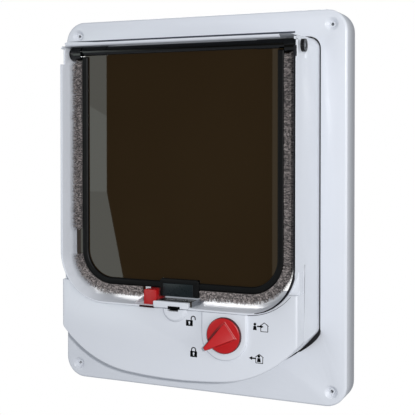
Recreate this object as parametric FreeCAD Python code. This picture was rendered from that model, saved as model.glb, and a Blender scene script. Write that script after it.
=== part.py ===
import FreeCAD, Part
import math
import os

os.makedirs("parts", exist_ok=True)

V = FreeCAD.Vector

# Cat flap for a door. All sizes are in millimetres.
# X runs to the right, Y away from the viewer into the door, and Z up.
# The origin is the middle of the four screw holes, on the plane that meets the door.
# Heights are given from the plate's bottom edge, and depths forward of the plate's front face.

# Door plate: a shallow tray, open at the back
PLATE_W = 236.0
PLATE_H = 290.0
PLATE_DEPTH = 22.0
PLATE_WALL = 2.5
PLATE_CORNER_R = 16.0
PLATE_EDGE = 1.2
SCREW_INSET_X = 11.5
SCREW_INSET_Z = 11.0
SCREW_SPACING_X = PLATE_W - 2 * SCREW_INSET_X
SCREW_SPACING_Z = PLATE_H - 2 * SCREW_INSET_Z
SCREW_HOLE_D = 4.6
SCREW_RECESS_D = 9.8
SCREW_CONE_DEPTH = 2.6
PILLAR_W = 12.5
RIB_T = 1.6
RIB_HEIGHT = 9.0

# Housing: the wide box that stands out of the plate
PLATE_MARGIN = 21.0
PLATE_MARGIN_TOP = 20.5
HOUSING_DRAFT = 2.7
HOUSING_HALF_REAR = PLATE_W / 2 - PLATE_MARGIN
HOUSING_HALF_FRONT = HOUSING_HALF_REAR - HOUSING_DRAFT
HOUSING_TOP = PLATE_H - PLATE_MARGIN_TOP
HOUSING_BOTTOM = 19.5
HOUSING_TOP_R = 8.0
HOUSING_WALL = 2.4
HOUSING_GAP = 1.2
HOOD_FRONT = 46.5
SMILE_MID_R = 0.03858 * HOUSING_HALF_REAR ** 2
SMILE_SIDE_R = 0.02835 * HOUSING_HALF_REAR ** 1.75
SMILE_JOIN_X = 0.3918 * HOUSING_HALF_REAR
SMILE_CORNER_R = 4.0
LUG_FROM_BOTTOM = 32.5
LUG_FROM_TOP = 25.5
LUG_HEIGHTS = (HOUSING_BOTTOM + LUG_FROM_BOTTOM, (HOUSING_BOTTOM + HOUSING_TOP) / 2,
               HOUSING_TOP - LUG_FROM_TOP)
LUG_REACH = 10.0
LUG_H = 12.0
LUG_T = 3.0
LUG_SCREW_D = 3.0
LUG_SCREW_GAP = 0.2
LUG_HEAD_W = 6.0
LUG_HEAD_T = 2.0
LUG_SCREW_GRIP = 8.0
LUG_SEAT_DEPTH = 10.0
LUG_BOSS_W = 7.0
SPIGOT_LENGTH = 12.0
SPIGOT_INSET = 2.2
BACK_WALL = 2.4

# Tunnel through the housing, which the flap closes
HOOD_WALL = 1.7
HOOD_TOP_WALL = 2.7
HOOD_BROW_WALL = 1.2
TUNNEL_HALF = HOUSING_HALF_FRONT - HOOD_WALL
TUNNEL_TOP = HOUSING_TOP - HOOD_TOP_WALL
TUNNEL_FLOOR = 76.4
TUNNEL_LIP = 73.3
TUNNEL_BROW = HOUSING_TOP - HOOD_BROW_WALL
TUNNEL_UNDER = 72.0
TUNNEL_CORNER_R = 34.5
TUNNEL_OUTER_R = 38.0
TUNNEL_TOP_R = 1.0

# Flap
HINGE_DROP = 5.6
HINGE_HEIGHT = TUNNEL_TOP - HINGE_DROP
FLAP_DEPTH = 31.5
SHEET_T = 3.0
SHEET_MARGIN = 4.6
SHEET_HALF = TUNNEL_HALF - SHEET_MARGIN
SHEET_BOTTOM = 79.4
SHEET_CORNER_R = 31.0
SHEET_OVER_AXIS = 0.8
SHEET_TOP = HINGE_HEIGHT + SHEET_OVER_AXIS
BEAD_INSET = 6.0
BEAD_HALF = SHEET_HALF - BEAD_INSET
BEAD_BOTTOM = 84.8
BEAD_DROP = 2.6
BEAD_TOP = HINGE_HEIGHT - BEAD_DROP
BEAD_W = 5.0
BEAD_T = 2.2
BEAD_CORNER_R = 26.0
BEAD_EDGE = 0.8
PILE_REACH = 0.5
PILE_CORNER_REACH = 1.5
PILE_HALF = SHEET_HALF + PILE_REACH
PILE_BOTTOM = 76.8
PILE_T = 4.0
PILE_DROP = 5.9
PILE_TOP = HINGE_HEIGHT - PILE_DROP
PILE_GAP_LOW = 107.0
PILE_GAP_HIGH = 127.0
BAR_R = 3.4
BAR_RISE = 1.6
BAR_COLLAR_R = 3.7
BAR_COLLAR_LENGTH = 21.0
BAR_COLLAR_X = BEAD_HALF - BAR_COLLAR_LENGTH
BAR_BOSS_R = 5.4
BAR_BOSS_GAP = 0.4
BAR_END_GAP = 0.5
BAR_BOSS_X = BEAD_HALF + BAR_BOSS_GAP
BAR_END_X = TUNNEL_HALF - BAR_END_GAP
BAR_EDGE = 1.0
PIN_D = 4.0
PIN_INSET = 1.0
PIN_RECESS = 0.4
PIN_INNER_X = BAR_BOSS_X + PIN_INSET
RUN_CLEARANCE = 0.05
BUSH_D = 8.6
BUTTON_R = 4.6
BUTTON_END_X = HOUSING_HALF_FRONT + 2.3
HINGE_SEAT_X = HOUSING_HALF_FRONT - 0.3
HINGE_SEAT_LOW = HINGE_HEIGHT - 8.7
HINGE_SEAT_HIGH = HOUSING_TOP - 1.5
HINGE_SEAT_REAR = FLAP_DEPTH - 6.5
HINGE_NOTCH_D = 4.2
HINGE_NOTCH_HIGH = HINGE_HEIGHT + 3.0
PIN_OUTER_X = BUTTON_END_X - PIN_RECESS

# Magnet at the foot of the flap
HOLDER_LEFT = -0.15052 * HOUSING_HALF_REAR
HOLDER_RIGHT = 0.17113 * HOUSING_HALF_REAR
HOLDER_BOTTOM = 79.0
HOLDER_TOP = BEAD_BOTTOM + 7.2
HOLDER_HALF_T = 4.2
MAGNET_LEFT = -0.12680 * HOUSING_HALF_REAR
MAGNET_RIGHT = 0.12371 * HOUSING_HALF_REAR
MAGNET_TOP = 88.6
MAGNET_T = 3.4

# Fascia: the removable front of the control box
FASCIA_FRONT = 44.0
FASCIA_REAR = 29.2
FASCIA_WALL = 2.0
FASCIA_TOP = 87.5
FASCIA_EDGE = 0.9
TAB_T = 1.6
TAB_H = 12.0
TAB_REACH = 6.0
TAB_HEIGHT = 68.0
TAB_GAP = 0.3
JOINT_GAP = 0.25
PLATEAU_LEFT = 23.5
PLATEAU_RIGHT = 58.0
PLATEAU_RISE = 2.5
PLATEAU_FOOT = 38.0
SENSOR_X = 0.01546 * HOUSING_HALF_REAR
SENSOR_R = 9.7
SENSOR_RISE = 2.2
SENSOR_SLOT_LEFT = -0.03711 * HOUSING_HALF_REAR
SENSOR_SLOT_RIGHT = 0.05052 * HOUSING_HALF_REAR
SENSOR_SLOT_H = 1.8

# Catch in the tunnel floor
CATCH_LEFT = -0.31959 * HOUSING_HALF_REAR
CATCH_RIGHT = 0.19588 * HOUSING_HALF_REAR
CATCH_REAR = 17.0
CATCH_PLATE_TOP = 73.4
CATCH_PLATE_T = 2.6
CATCH_BLOCK_LEFT = -0.15773 * HOUSING_HALF_REAR
CATCH_BLOCK_RIGHT = 0.13402 * HOUSING_HALF_REAR
CATCH_BLOCK_TOP = 77.0
CATCH_BLOCK_T = 1.9
POLE_LEFT = -0.13402 * HOUSING_HALF_REAR
POLE_RIGHT = 0.15670 * HOUSING_HALF_REAR
POLE_REAR = 27.0
POLE_TOP = 77.6

# Lock: knob, scroll cam and the two sliders
KNOB_X = 0.43196 * HOUSING_HALF_REAR
KNOB_HEIGHT = 56.7
KNOB_R = 12.9
KNOB_BASE_T = 3.6
KNOB_BASE_EDGE = 0.8
KNOB_GRIP_RISE = 6.5
KNOB_TIP = 15.8
KNOB_TAIL = 8.5
KNOB_TAIL_W = 17.0
KNOB_TAIL_RISE = 0.6
KNOB_GRIP_DRAFT = 1.6
KNOB_TIP_W = 4.2
KNOB_POINTS_AT = 217.0
KNOB_FACE_GAP = 0.3
KNOB_TURN_BACK = 46.5
KNOB_TURN_ON = 166.0
SHAFT_R = 4.0
CAM_R = 15.0
CAM_FRONT = 38.0
CAM_T = 6.0
GROOVE_DEPTH = 2.3
GROOVE_START_R = 9.5
SLIDE_PER_RADIAN = 1.0
CAM_PIN_R = 1.5
CAM_CLEARANCE = 0.15
GROOVE_RUN_OUT = 16.0
GROOVE_ARCS = 6
SLIDER_T = 2.2
SLIDER_H = 11.0
SLIDER_SPACE = 0.6
LATCH_W = 0.10412 * HOUSING_HALF_REAR
LATCH_D = 5.0
LATCH_TOP = 84.1
FRONT_LATCH_RIGHT = -0.15670 * HOUSING_HALF_REAR
REAR_LATCH_RIGHT = -0.18660 * HOUSING_HALF_REAR
FRONT_LATCH_DEPTH = 39.0
REAR_LATCH_DEPTH = 22.0
LATCH_ROOM = 0.5

# Electromagnet under the tunnel floor
COIL_X = 0.01546 * HOUSING_HALF_REAR
COIL_DEPTH = 20.0
YOKE_W = 22.0
YOKE_D = 16.0
YOKE_BOTTOM = 31.0
YOKE_TOP = 59.0
YOKE_T = 2.0
BOBBIN_FLANGE_R = 7.6
BOBBIN_FLANGE_T = 1.2
BOBBIN_TUBE_R = 4.2
COIL_R = 7.3
PLUNGER_R = 3.0
PLUNGER_TOP = 78.5
PLUNGER_BOTTOM = 41.0
PLUNGER_TIP = 0.8
COLLAR_R = 5.5
COLLAR_T = 1.5
PLUNGER_STROKE = 5.0
SPRING_CLOSED = 3.4
SPRING_R = 4.3
SPRING_WIRE = 0.8
SPRING_TURNS = 3

# Battery tray and circuit, in the side bays of the box
CELL_D = 14.2
CELL_LENGTH = 0.51031 * HOUSING_HALF_REAR
CELL_NIPPLE_D = 5.3
CELL_NIPPLE = 1.0
CELL_PITCH = 14.5
CELL_HEIGHT = 57.4
CELL_COUNT = 4
SIDE_BAY = 3.6
TRAY_LEFT = SIDE_BAY - TUNNEL_HALF
TRAY_WALL = 1.2
CONTACT_T = 0.6
CONTACT_SPACE = 1.0
TRAY_RIGHT = TRAY_LEFT + 2 * (TRAY_WALL + CONTACT_T + CONTACT_SPACE) + CELL_LENGTH + CELL_NIPPLE
BUTTON_W = 3.4
BOARD_W = 0.49485 * HOUSING_HALF_REAR
BOARD_GAP = 6.6
BOARD_RIGHT = TUNNEL_HALF - BOARD_GAP
BOARD_LEFT = BOARD_RIGHT - BOARD_W
BOARD_LOW = 47.0
BOARD_HIGH = 70.0
BOARD_T = 1.6
BOARD_CORNER_R = 1.5
BOARD_PARTS = ((8.0, 6.0, 12.0, 8.0, 1.8), (26.0, 5.0, 6.0, 10.0, 4.5), (3.0, 17.0, 8.0, 5.0, 6.0))
CAPACITOR_INSET = 8.5
CAPACITOR_R = 3.2
CAPACITOR_RISE = 8.0
POST_INSET = 3.0
BOARD_DEPTH = 6.0
POST_W = 4.4
FERRITE_D = 8.0
FERRITE_GAP = 0.9
FERRITE_LENGTH = -2 * (TRAY_RIGHT + FERRITE_GAP)
FERRITE_HEIGHT = 63.0
FERRITE_DEPTH = -8.0
WINDING_R = 6.0
WINDING_LENGTH = 0.53125 * FERRITE_LENGTH
CRADLE_T = 3.0
CRADLE_HALF_H = 6.5
CRADLE_GAP = 6.0


def up(height):
    """Height above the plate's bottom edge, as a Z value."""
    return height - PLATE_H / 2


def out(depth):
    """Depth forward of the plate's front face, as a Y value."""
    return -(PLATE_DEPTH + depth)


def half_width(depth):
    """Half the housing's outer width, which tapers evenly from the plate to the hood's edge."""
    share = min(max(depth / HOOD_FRONT, 0.0), 1.0)
    return HOUSING_HALF_REAR + (HOUSING_HALF_FRONT - HOUSING_HALF_REAR) * share


def closed_wire(edges):
    return Part.Wire(Part.__sortEdges__(edges))


def line(a, b, y):
    return Part.LineSegment(V(a[0], y, a[1]), V(b[0], y, b[1])).toShape()


def arc(a, mid, b, y):
    return Part.Arc(V(a[0], y, a[1]), V(mid[0], y, mid[1]), V(b[0], y, b[1])).toShape()


def corner_loop(left, right, low, high, radii, y):
    """Rectangle in the XZ plane. The radii are those of its lower left, lower right,
    upper right and upper left corners."""
    corners = ((left, low, 1, 1), (right, low, -1, 1), (right, high, -1, -1), (left, high, 1, -1))
    diagonal = 1 - math.sqrt(0.5)
    starts = []
    ends = []
    edges = []
    for index, (x, z, sx, sz) in enumerate(corners):
        r = radii[index]
        along_z = (x, z + sz * r)
        along_x = (x + sx * r, z)
        first, last = (along_z, along_x) if index % 2 == 0 else (along_x, along_z)
        starts.append(first)
        ends.append(last)
        if r > 0:
            middle = (x + sx * r * diagonal, z + sz * r * diagonal)
            edges.append(arc(first, middle, last, y))
    for index in range(4):
        edges.append(line(ends[index], starts[(index + 1) % 4], y))
    return closed_wire(edges)


def smile_points(half, low):
    """Points of the bowed bottom edge of the housing: a flat middle arc that runs into
    a tighter arc at each side, and a small round where that meets the upright side."""
    mid_centre_z = low + SMILE_MID_R
    join_z = mid_centre_z - math.sqrt(SMILE_MID_R ** 2 - SMILE_JOIN_X ** 2)
    share = (SMILE_MID_R - SMILE_SIDE_R) / SMILE_MID_R
    side_x = SMILE_JOIN_X * share
    side_z = mid_centre_z + (join_z - mid_centre_z) * share
    corner_x = half - SMILE_CORNER_R
    reach = SMILE_SIDE_R - SMILE_CORNER_R
    corner_z = side_z - math.sqrt(reach ** 2 - (corner_x - side_x) ** 2)
    touch = SMILE_SIDE_R / reach
    touch_x = side_x + (corner_x - side_x) * touch
    touch_z = side_z + (corner_z - side_z) * touch
    join_turn = math.atan2(join_z - side_z, SMILE_JOIN_X - side_x)
    touch_turn = math.atan2(touch_z - side_z, touch_x - side_x)
    middle_turn = (join_turn + touch_turn) / 2
    side_mid = (side_x + SMILE_SIDE_R * math.cos(middle_turn), side_z + SMILE_SIDE_R * math.sin(middle_turn))
    corner_turn = touch_turn / 2
    corner_mid = (corner_x + SMILE_CORNER_R * math.cos(corner_turn),
                  corner_z + SMILE_CORNER_R * math.sin(corner_turn))
    return {
        "foot": (0.0, low),
        "join": (SMILE_JOIN_X, join_z),
        "side_mid": side_mid,
        "touch": (touch_x, touch_z),
        "corner_mid": corner_mid,
        "side": (half, corner_z),
    }


def flip(point):
    return (-point[0], point[1])


def housing_loop(inset, depth, y=None):
    """Outline of the whole housing: upright sides, rounded top corners and bowed bottom."""
    y = out(depth) if y is None else y
    half = half_width(depth) - inset
    low = up(HOUSING_BOTTOM) + inset
    high = up(HOUSING_TOP) - inset
    r = max(HOUSING_TOP_R - inset, 1.0)
    p = smile_points(half, low)
    diagonal = r * (1 - math.sqrt(0.5))
    edges = [arc(flip(p["join"]), p["foot"], p["join"], y)]
    for side in (lambda q: q, flip):
        edges.append(arc(side(p["join"]), side(p["side_mid"]), side(p["touch"]), y))
        edges.append(arc(side(p["touch"]), side(p["corner_mid"]), side(p["side"]), y))
        edges.append(line(side(p["side"]), side((half, high - r)), y))
        edges.append(arc(side((half, high - r)), side((half - diagonal, high - diagonal)),
                         side((half - r, high)), y))
    edges.append(line((r - half, high), (half - r, high), y))
    return closed_wire(edges)


def tunnel_outer_loop(depth, grow=0.0):
    """Outside of the hood: the tunnel wall forward of the control box."""
    half = half_width(depth) + grow
    r = TUNNEL_OUTER_R + grow
    radii = (r, r, HOUSING_TOP_R, HOUSING_TOP_R)
    return corner_loop(-half, half, up(TUNNEL_UNDER) - grow, up(HOUSING_TOP) + grow, radii, out(depth))


def tunnel_loop(y, floor, inset=0.0, top=TUNNEL_TOP):
    """Inside of the tunnel, with its floor and its top at the given heights."""
    r = TUNNEL_CORNER_R - inset
    top_r = TUNNEL_TOP_R - inset
    half = TUNNEL_HALF - inset
    radii = (r, r, top_r, top_r)
    return corner_loop(-half, half, up(floor) + inset, up(top) - inset, radii, y)


def prism(wire, length):
    """Solid from a closed wire, run along Y by the given length."""
    return Part.Face(wire).extrude(V(0, length, 0))


def loft(first, second):
    return Part.makeLoft([first, second], True, True)


def block(left, right, near, far, low, high):
    """Plain block. Near and far are depths forward of the plate, low and high are heights."""
    return Part.makeBox(right - left, far - near, high - low, V(left, out(far), up(low)))


def rod_y(x, height, r, near, far):
    """Round bar along Y, between two depths."""
    return Part.makeCylinder(r, far - near, V(x, out(near), up(height)), V(0, -1, 0))


def rod_x(r, start, end, height, depth):
    """Round bar along X."""
    return Part.makeCylinder(r, end - start, V(start, out(depth), up(height)), V(1, 0, 0))


def rod_z(x, depth, r, low, high):
    """Upright round bar, between two heights."""
    return Part.makeCylinder(r, high - low, V(x, out(depth), up(low)), V(0, 0, 1))


def hex_rod(across, start, length, along):
    """Six-sided rod between two flats this far across, from the start point along the given way."""
    side = along.cross(V(0, 0, 1)) if abs(along.z) < 0.5 else V(1, 0, 0)
    up_way = along.cross(side)
    r = across / math.sqrt(3)
    points = []
    for step in range(7):
        turn = math.radians(60 * step)
        points.append(start + side * (r * math.cos(turn)) + up_way * (r * math.sin(turn)))
    return Part.Face(Part.makePolygon(points)).extrude(along * length)


def fuse(shapes):
    shapes = list(shapes)
    return shapes[0].multiFuse(shapes[1:]).removeSplitter() if len(shapes) > 1 else shapes[0]


def cut(shape, tools):
    return shape.cut(list(tools)) if tools else shape


def ease_edges(shape, size, wanted):
    """Take the sharp corner off the edges that the test picks."""
    edges = [edge for edge in shape.Edges if wanted(edge)]
    return shape.makeChamfer(size, edges) if edges and size > 0 else shape


def on_plane(edge, y, reach=0.01):
    return all(abs(vertex.Point.y - y) < reach for vertex in edge.Vertexes)


def screw_places():
    for x in (-SCREW_SPACING_X / 2, SCREW_SPACING_X / 2):
        for z in (-SCREW_SPACING_Z / 2, SCREW_SPACING_Z / 2):
            yield x, z


def lug_places():
    """Middle of each screw hole that holds the housing to the plate."""
    for side in (-1, 1):
        for height in LUG_HEIGHTS:
            yield side, side * (HOUSING_HALF_REAR + LUG_REACH / 2), height


def plate_loop(y, inset=0.0):
    half_w = PLATE_W / 2 - inset
    half_h = PLATE_H / 2 - inset
    r = PLATE_CORNER_R - inset
    return corner_loop(-half_w, half_w, -half_h, half_h, (r, r, r, r), y)


def door_plate():
    """Tray with a soft front edge, screw pillars, bosses for the housing and back ribs."""
    front = -PLATE_DEPTH
    shell = prism(plate_loop(front), PLATE_DEPTH)
    shell = ease_edges(shell, PLATE_EDGE, lambda edge: on_plane(edge, front))
    hollow = prism(plate_loop(front + PLATE_WALL, PLATE_WALL), PLATE_DEPTH)
    shell = shell.cut(hollow)
    added = []
    back_way = V(0, 1, 0)
    rib_front = front + PLATE_WALL / 2
    for x, z in screw_places():
        added.append(hex_rod(PILLAR_W, V(x, rib_front, z), -rib_front, back_way))
    for side, x, height in lug_places():
        added.append(hex_rod(LUG_BOSS_W, V(x, rib_front, up(height)), -LUG_SEAT_DEPTH - rib_front, back_way))
    edge_x = PLATE_W / 2 - PLATE_WALL / 2
    inner_x = HOUSING_HALF_REAR + HOUSING_GAP + RIB_T
    rib_step = PLATE_H / 6
    for side in (-1, 1):
        for step in (-2, -1, 0, 1, 2):
            z = step * rib_step - RIB_T / 2
            left = inner_x if side > 0 else -edge_x
            added.append(Part.makeBox(edge_x - inner_x, RIB_HEIGHT, RIB_T, V(left, rib_front, z)))
    shell = fuse([shell] + added)
    removed = [prism(housing_loop(-HOUSING_GAP, 0.0, front - 1.0), PLATE_DEPTH + 2.0)]
    for x, z in screw_places():
        removed.append(Part.makeCylinder(SCREW_HOLE_D / 2, PLATE_DEPTH + 2.0, V(x, front - 1.0, z),
                                         V(0, 1, 0)))
        removed.append(Part.makeCone(SCREW_RECESS_D / 2, SCREW_HOLE_D / 2, SCREW_CONE_DEPTH,
                                     V(x, front, z), V(0, 1, 0)))
    for side, x, height in lug_places():
        removed.append(hex_rod(LUG_SCREW_D, V(x, front + PLATE_WALL, up(height)), PLATE_DEPTH, back_way))
    return cut(shell, removed)


def lug(side, x, height):
    """Tab on the side of the housing that a screw holds to its boss on the plate."""
    inner = HOUSING_HALF_REAR - HOUSING_WALL / 2
    outer = HOUSING_HALF_REAR + LUG_REACH
    left, right = (inner, outer) if side > 0 else (-outer, -inner)
    near = LUG_SEAT_DEPTH - PLATE_DEPTH - LUG_T
    return block(left, right, near, near + LUG_T, height - LUG_H / 2, height + LUG_H / 2)


def flap_housing():
    """One moulding: the tunnel, the hood round the flap, and the control box below."""
    rear_part = prism(housing_loop(0.0, 0.0, 0.0), -PLATE_DEPTH)
    front_part = loft(housing_loop(0.0, 0.0), housing_loop(0.0, FASCIA_REAR - JOINT_GAP))
    hood = loft(tunnel_outer_loop(FASCIA_REAR - JOINT_GAP), tunnel_outer_loop(HOOD_FRONT))
    spigot = prism(tunnel_loop(-1.0, TUNNEL_FLOOR, -SPIGOT_INSET), SPIGOT_LENGTH + 1.0)
    lugs = [lug(side, x, height) for side, x, height in lug_places()]
    body = fuse([rear_part, front_part, hood, spigot] + lugs)

    floor_y = out(FLAP_DEPTH)
    front_y = out(HOOD_FRONT)
    tunnel = prism(tunnel_loop(floor_y, TUNNEL_FLOOR), SPIGOT_LENGTH + 2.0 - floor_y)
    mouth = loft(tunnel_loop(front_y, TUNNEL_LIP, 0.0, TUNNEL_BROW), tunnel_loop(floor_y, TUNNEL_FLOOR))

    box_rear = -BACK_WALL
    box_depth = PLATE_DEPTH + FASCIA_REAR + 1.0 - BACK_WALL
    wide = HOUSING_HALF_REAR + 1
    keep = prism(corner_loop(-wide, wide, up(TUNNEL_UNDER), up(HOUSING_TOP) + 1,
                             (TUNNEL_OUTER_R, TUNNEL_OUTER_R, 0, 0), 1.0), -(PLATE_DEPTH + FASCIA_REAR + 3.0))
    box_space = prism(housing_loop(HOUSING_WALL, FASCIA_REAR, box_rear), -box_depth).cut(keep)

    catch_window = block(CATCH_LEFT - JOINT_GAP, CATCH_RIGHT + JOINT_GAP, CATCH_REAR - JOINT_GAP,
                         HOOD_FRONT - CATCH_BLOCK_T, TUNNEL_UNDER - 1, TUNNEL_FLOOR + 1)
    notch = corner_loop(CATCH_BLOCK_LEFT - JOINT_GAP, CATCH_BLOCK_RIGHT + JOINT_GAP, up(TUNNEL_UNDER) + 0.4,
                        up(TUNNEL_FLOOR) + 4, (0.6, 0.6, 1, 1), out(HOOD_FRONT) - 1)
    seats = []
    front_far = HOOD_FRONT + 1
    for side in (-1, 1):
        for inner_x, near, high in ((HINGE_SEAT_X, HINGE_SEAT_REAR, HINGE_SEAT_HIGH),
                                    (TUNNEL_HALF - 1, HOOD_FRONT - HINGE_NOTCH_D, HINGE_NOTCH_HIGH)):
            outer_x = HOUSING_HALF_REAR + 1
            left, right = (inner_x, outer_x) if side > 0 else (-outer_x, -inner_x)
            seats.append(block(left, right, near, front_far, HINGE_SEAT_LOW, high))
    holes = [rod_x(BUSH_D / 2, -HOUSING_HALF_REAR - 1, HOUSING_HALF_REAR + 1, HINGE_HEIGHT, FLAP_DEPTH)]
    for side, x, height in lug_places():
        start = V(x, -LUG_SEAT_DEPTH - LUG_T, up(height))
        holes.append(hex_rod(LUG_SCREW_D + 2 * LUG_SCREW_GAP, start, 3 * LUG_T, V(0, 1, 0)))
    body = cut(body, [tunnel, mouth, box_space, catch_window, prism(notch, 4.0)] + seats + holes)

    seat_low = CATCH_PLATE_TOP - CATCH_PLATE_T
    rail = 1.6
    rails = []
    for left, right in ((CATCH_LEFT - rail, CATCH_LEFT + rail), (CATCH_RIGHT - rail, CATCH_RIGHT + rail)):
        rails.append(block(left, right, CATCH_REAR, FASCIA_REAR - 1, seat_low - rail, seat_low))
    for left, right in ((CATCH_LEFT - rail, CATCH_LEFT - JOINT_GAP),
                        (CATCH_RIGHT + JOINT_GAP, CATCH_RIGHT + rail)):
        rails.append(block(left, right, CATCH_REAR, FASCIA_REAR - 1, seat_low - rail, TUNNEL_UNDER + 0.5))
    return fuse([body] + rails)


def pivot_bush(side):
    """Bush in the hood's side wall with a round button in the seat outside, which the pin turns in."""
    spans = ((BUSH_D / 2, TUNNEL_HALF, BUTTON_END_X), (BUTTON_R, HINGE_SEAT_X, BUTTON_END_X))
    rods = []
    for r, inner_x, outer_x in spans:
        start, end = (inner_x, outer_x) if side > 0 else (-outer_x, -inner_x)
        rods.append(rod_x(r, start, end, HINGE_HEIGHT, FLAP_DEPTH))
    bore = rod_x(PIN_D / 2 + RUN_CLEARANCE, -PLATE_W / 2, PLATE_W / 2, HINGE_HEIGHT, FLAP_DEPTH)
    return fuse(rods).cut(bore)


def hinge_pin(side):
    start, end = (PIN_INNER_X, PIN_OUTER_X) if side > 0 else (-PIN_OUTER_X, -PIN_INNER_X)
    return rod_x(PIN_D / 2, start, end, HINGE_HEIGHT, FLAP_DEPTH)


def hinge_bar():
    """Bar along the top of the flap, slotted for the sheet. It lies a little above the hinge axis, with a
    collar near each end and a boss round each hinge pin."""
    bar_height = HINGE_HEIGHT + BAR_RISE
    bar = rod_x(BAR_R, -BAR_BOSS_X - 1, BAR_BOSS_X + 1, bar_height, FLAP_DEPTH)
    bosses = [rod_x(BAR_COLLAR_R, -BAR_BOSS_X, -BAR_COLLAR_X, bar_height, FLAP_DEPTH),
              rod_x(BAR_COLLAR_R, BAR_COLLAR_X, BAR_BOSS_X, bar_height, FLAP_DEPTH)]
    for side in (-1, 1):
        start = BAR_BOSS_X if side > 0 else -BAR_END_X
        boss = rod_x(BAR_BOSS_R, start, start + BAR_END_X - BAR_BOSS_X, HINGE_HEIGHT, FLAP_DEPTH)
        boss = ease_edges(boss, BAR_EDGE,
                          lambda edge: edge.Closed and abs(edge.BoundBox.Center.x) > BAR_END_X - 1)
        bosses.append(boss)
    body = fuse([bar] + bosses)
    tools = [sheet_outline_solid(SHEET_T)]
    for side in (-1, 1):
        tools.append(hinge_pin(side))
    return cut(body, tools)


def sheet_outline_solid(thickness):
    """Tinted sheet before its cut-outs."""
    radii = (SHEET_CORNER_R, SHEET_CORNER_R, 3, 3)
    wire = corner_loop(-SHEET_HALF, SHEET_HALF, up(SHEET_BOTTOM), up(SHEET_TOP), radii,
                       out(FLAP_DEPTH + thickness / 2))
    return prism(wire, thickness)


def flap_panel():
    """Flat tinted sheet, notched for the magnet holder and for the lock hooks."""
    latch_left = CATCH_LEFT + 1.5
    notch = block(latch_left, HOLDER_LEFT, FLAP_DEPTH - 5, FLAP_DEPTH + 5, SHEET_BOTTOM - 1, BEAD_BOTTOM)
    seat = block(HOLDER_LEFT, HOLDER_RIGHT, FLAP_DEPTH - 5, FLAP_DEPTH + 5, SHEET_BOTTOM - 1, HOLDER_TOP)
    return cut(sheet_outline_solid(SHEET_T), [notch, seat] + [hinge_pin(side) for side in (-1, 1)])


def flap_bead(face):
    """Black band round the sheet, one on each face, cut away for the magnet holder."""
    near = FLAP_DEPTH + SHEET_T / 2 if face > 0 else FLAP_DEPTH - SHEET_T / 2 - BEAD_T
    front_y = out(near + BEAD_T)
    outer_r = (BEAD_CORNER_R, BEAD_CORNER_R, 0, 0)
    r = BEAD_CORNER_R - BEAD_W
    outer = prism(corner_loop(-BEAD_HALF, BEAD_HALF, up(BEAD_BOTTOM), up(BEAD_TOP), outer_r, front_y),
                  BEAD_T)
    half = BEAD_HALF - BEAD_W
    inner = prism(corner_loop(-half, half, up(BEAD_BOTTOM + BEAD_W), up(BEAD_TOP + BEAD_W),
                              (r, r, 0, 0), front_y - 1), BEAD_T + 2)
    band = outer.cut(inner)
    if face > 0:
        band = ease_edges(band, BEAD_EDGE, lambda edge: on_plane(edge, front_y))
    seat = block(HOLDER_LEFT, HOLDER_RIGHT, near - 1, near + BEAD_T + 1, BEAD_BOTTOM - 1, HOLDER_TOP)
    return band.cut(seat)


def pile_band():
    """Ring of pile that stands out past the edge of the sheet, before it is cut to lengths."""
    near = FLAP_DEPTH + SHEET_T / 2
    y = out(near + PILE_T)
    outer_r = SHEET_CORNER_R + PILE_CORNER_REACH
    outer = prism(corner_loop(-PILE_HALF, PILE_HALF, up(PILE_BOTTOM), up(PILE_TOP), (outer_r, outer_r, 1, 1), y),
                  PILE_T)
    inner_r = BEAD_CORNER_R
    inner = prism(corner_loop(-BEAD_HALF, BEAD_HALF, up(BEAD_BOTTOM), up(PILE_TOP) + 5,
                              (inner_r, inner_r, 0, 0), y - 1), PILE_T + 2)
    return outer.cut(inner)


def pile_strip(name):
    """One length of the pile: two straight ones at the sides and two round the lower corners."""
    near = FLAP_DEPTH - 5
    far = FLAP_DEPTH + 10
    wide = PILE_HALF + 1
    low = PILE_BOTTOM - 1
    windows = {
        "left": block(-wide, -BEAD_HALF + 1, near, far, PILE_GAP_HIGH, PILE_TOP + 1),
        "right": block(BEAD_HALF - 1, wide, near, far, PILE_GAP_LOW, PILE_TOP + 1),
        "lower_left": block(-wide, CATCH_LEFT + 1.0, near, far, low, PILE_GAP_LOW),
        "lower_right": block(HOLDER_RIGHT + 1.0, wide, near, far, low, PILE_GAP_LOW - 0.2),
    }
    return pile_band().common(windows[name])


def magnet_holder():
    """Block at the foot of the flap, with a pocket in front for the magnet."""
    wire = corner_loop(HOLDER_LEFT, HOLDER_RIGHT, up(HOLDER_BOTTOM), up(HOLDER_TOP), (0.6, 0.6, 2, 2),
                       out(FLAP_DEPTH + HOLDER_HALF_T))
    body = prism(wire, 2 * HOLDER_HALF_T)
    return body.cut(flap_magnet())


def flap_magnet():
    front = FLAP_DEPTH + HOLDER_HALF_T
    return block(MAGNET_LEFT, MAGNET_RIGHT, front - MAGNET_T, front, HOLDER_BOTTOM, MAGNET_TOP)


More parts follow.
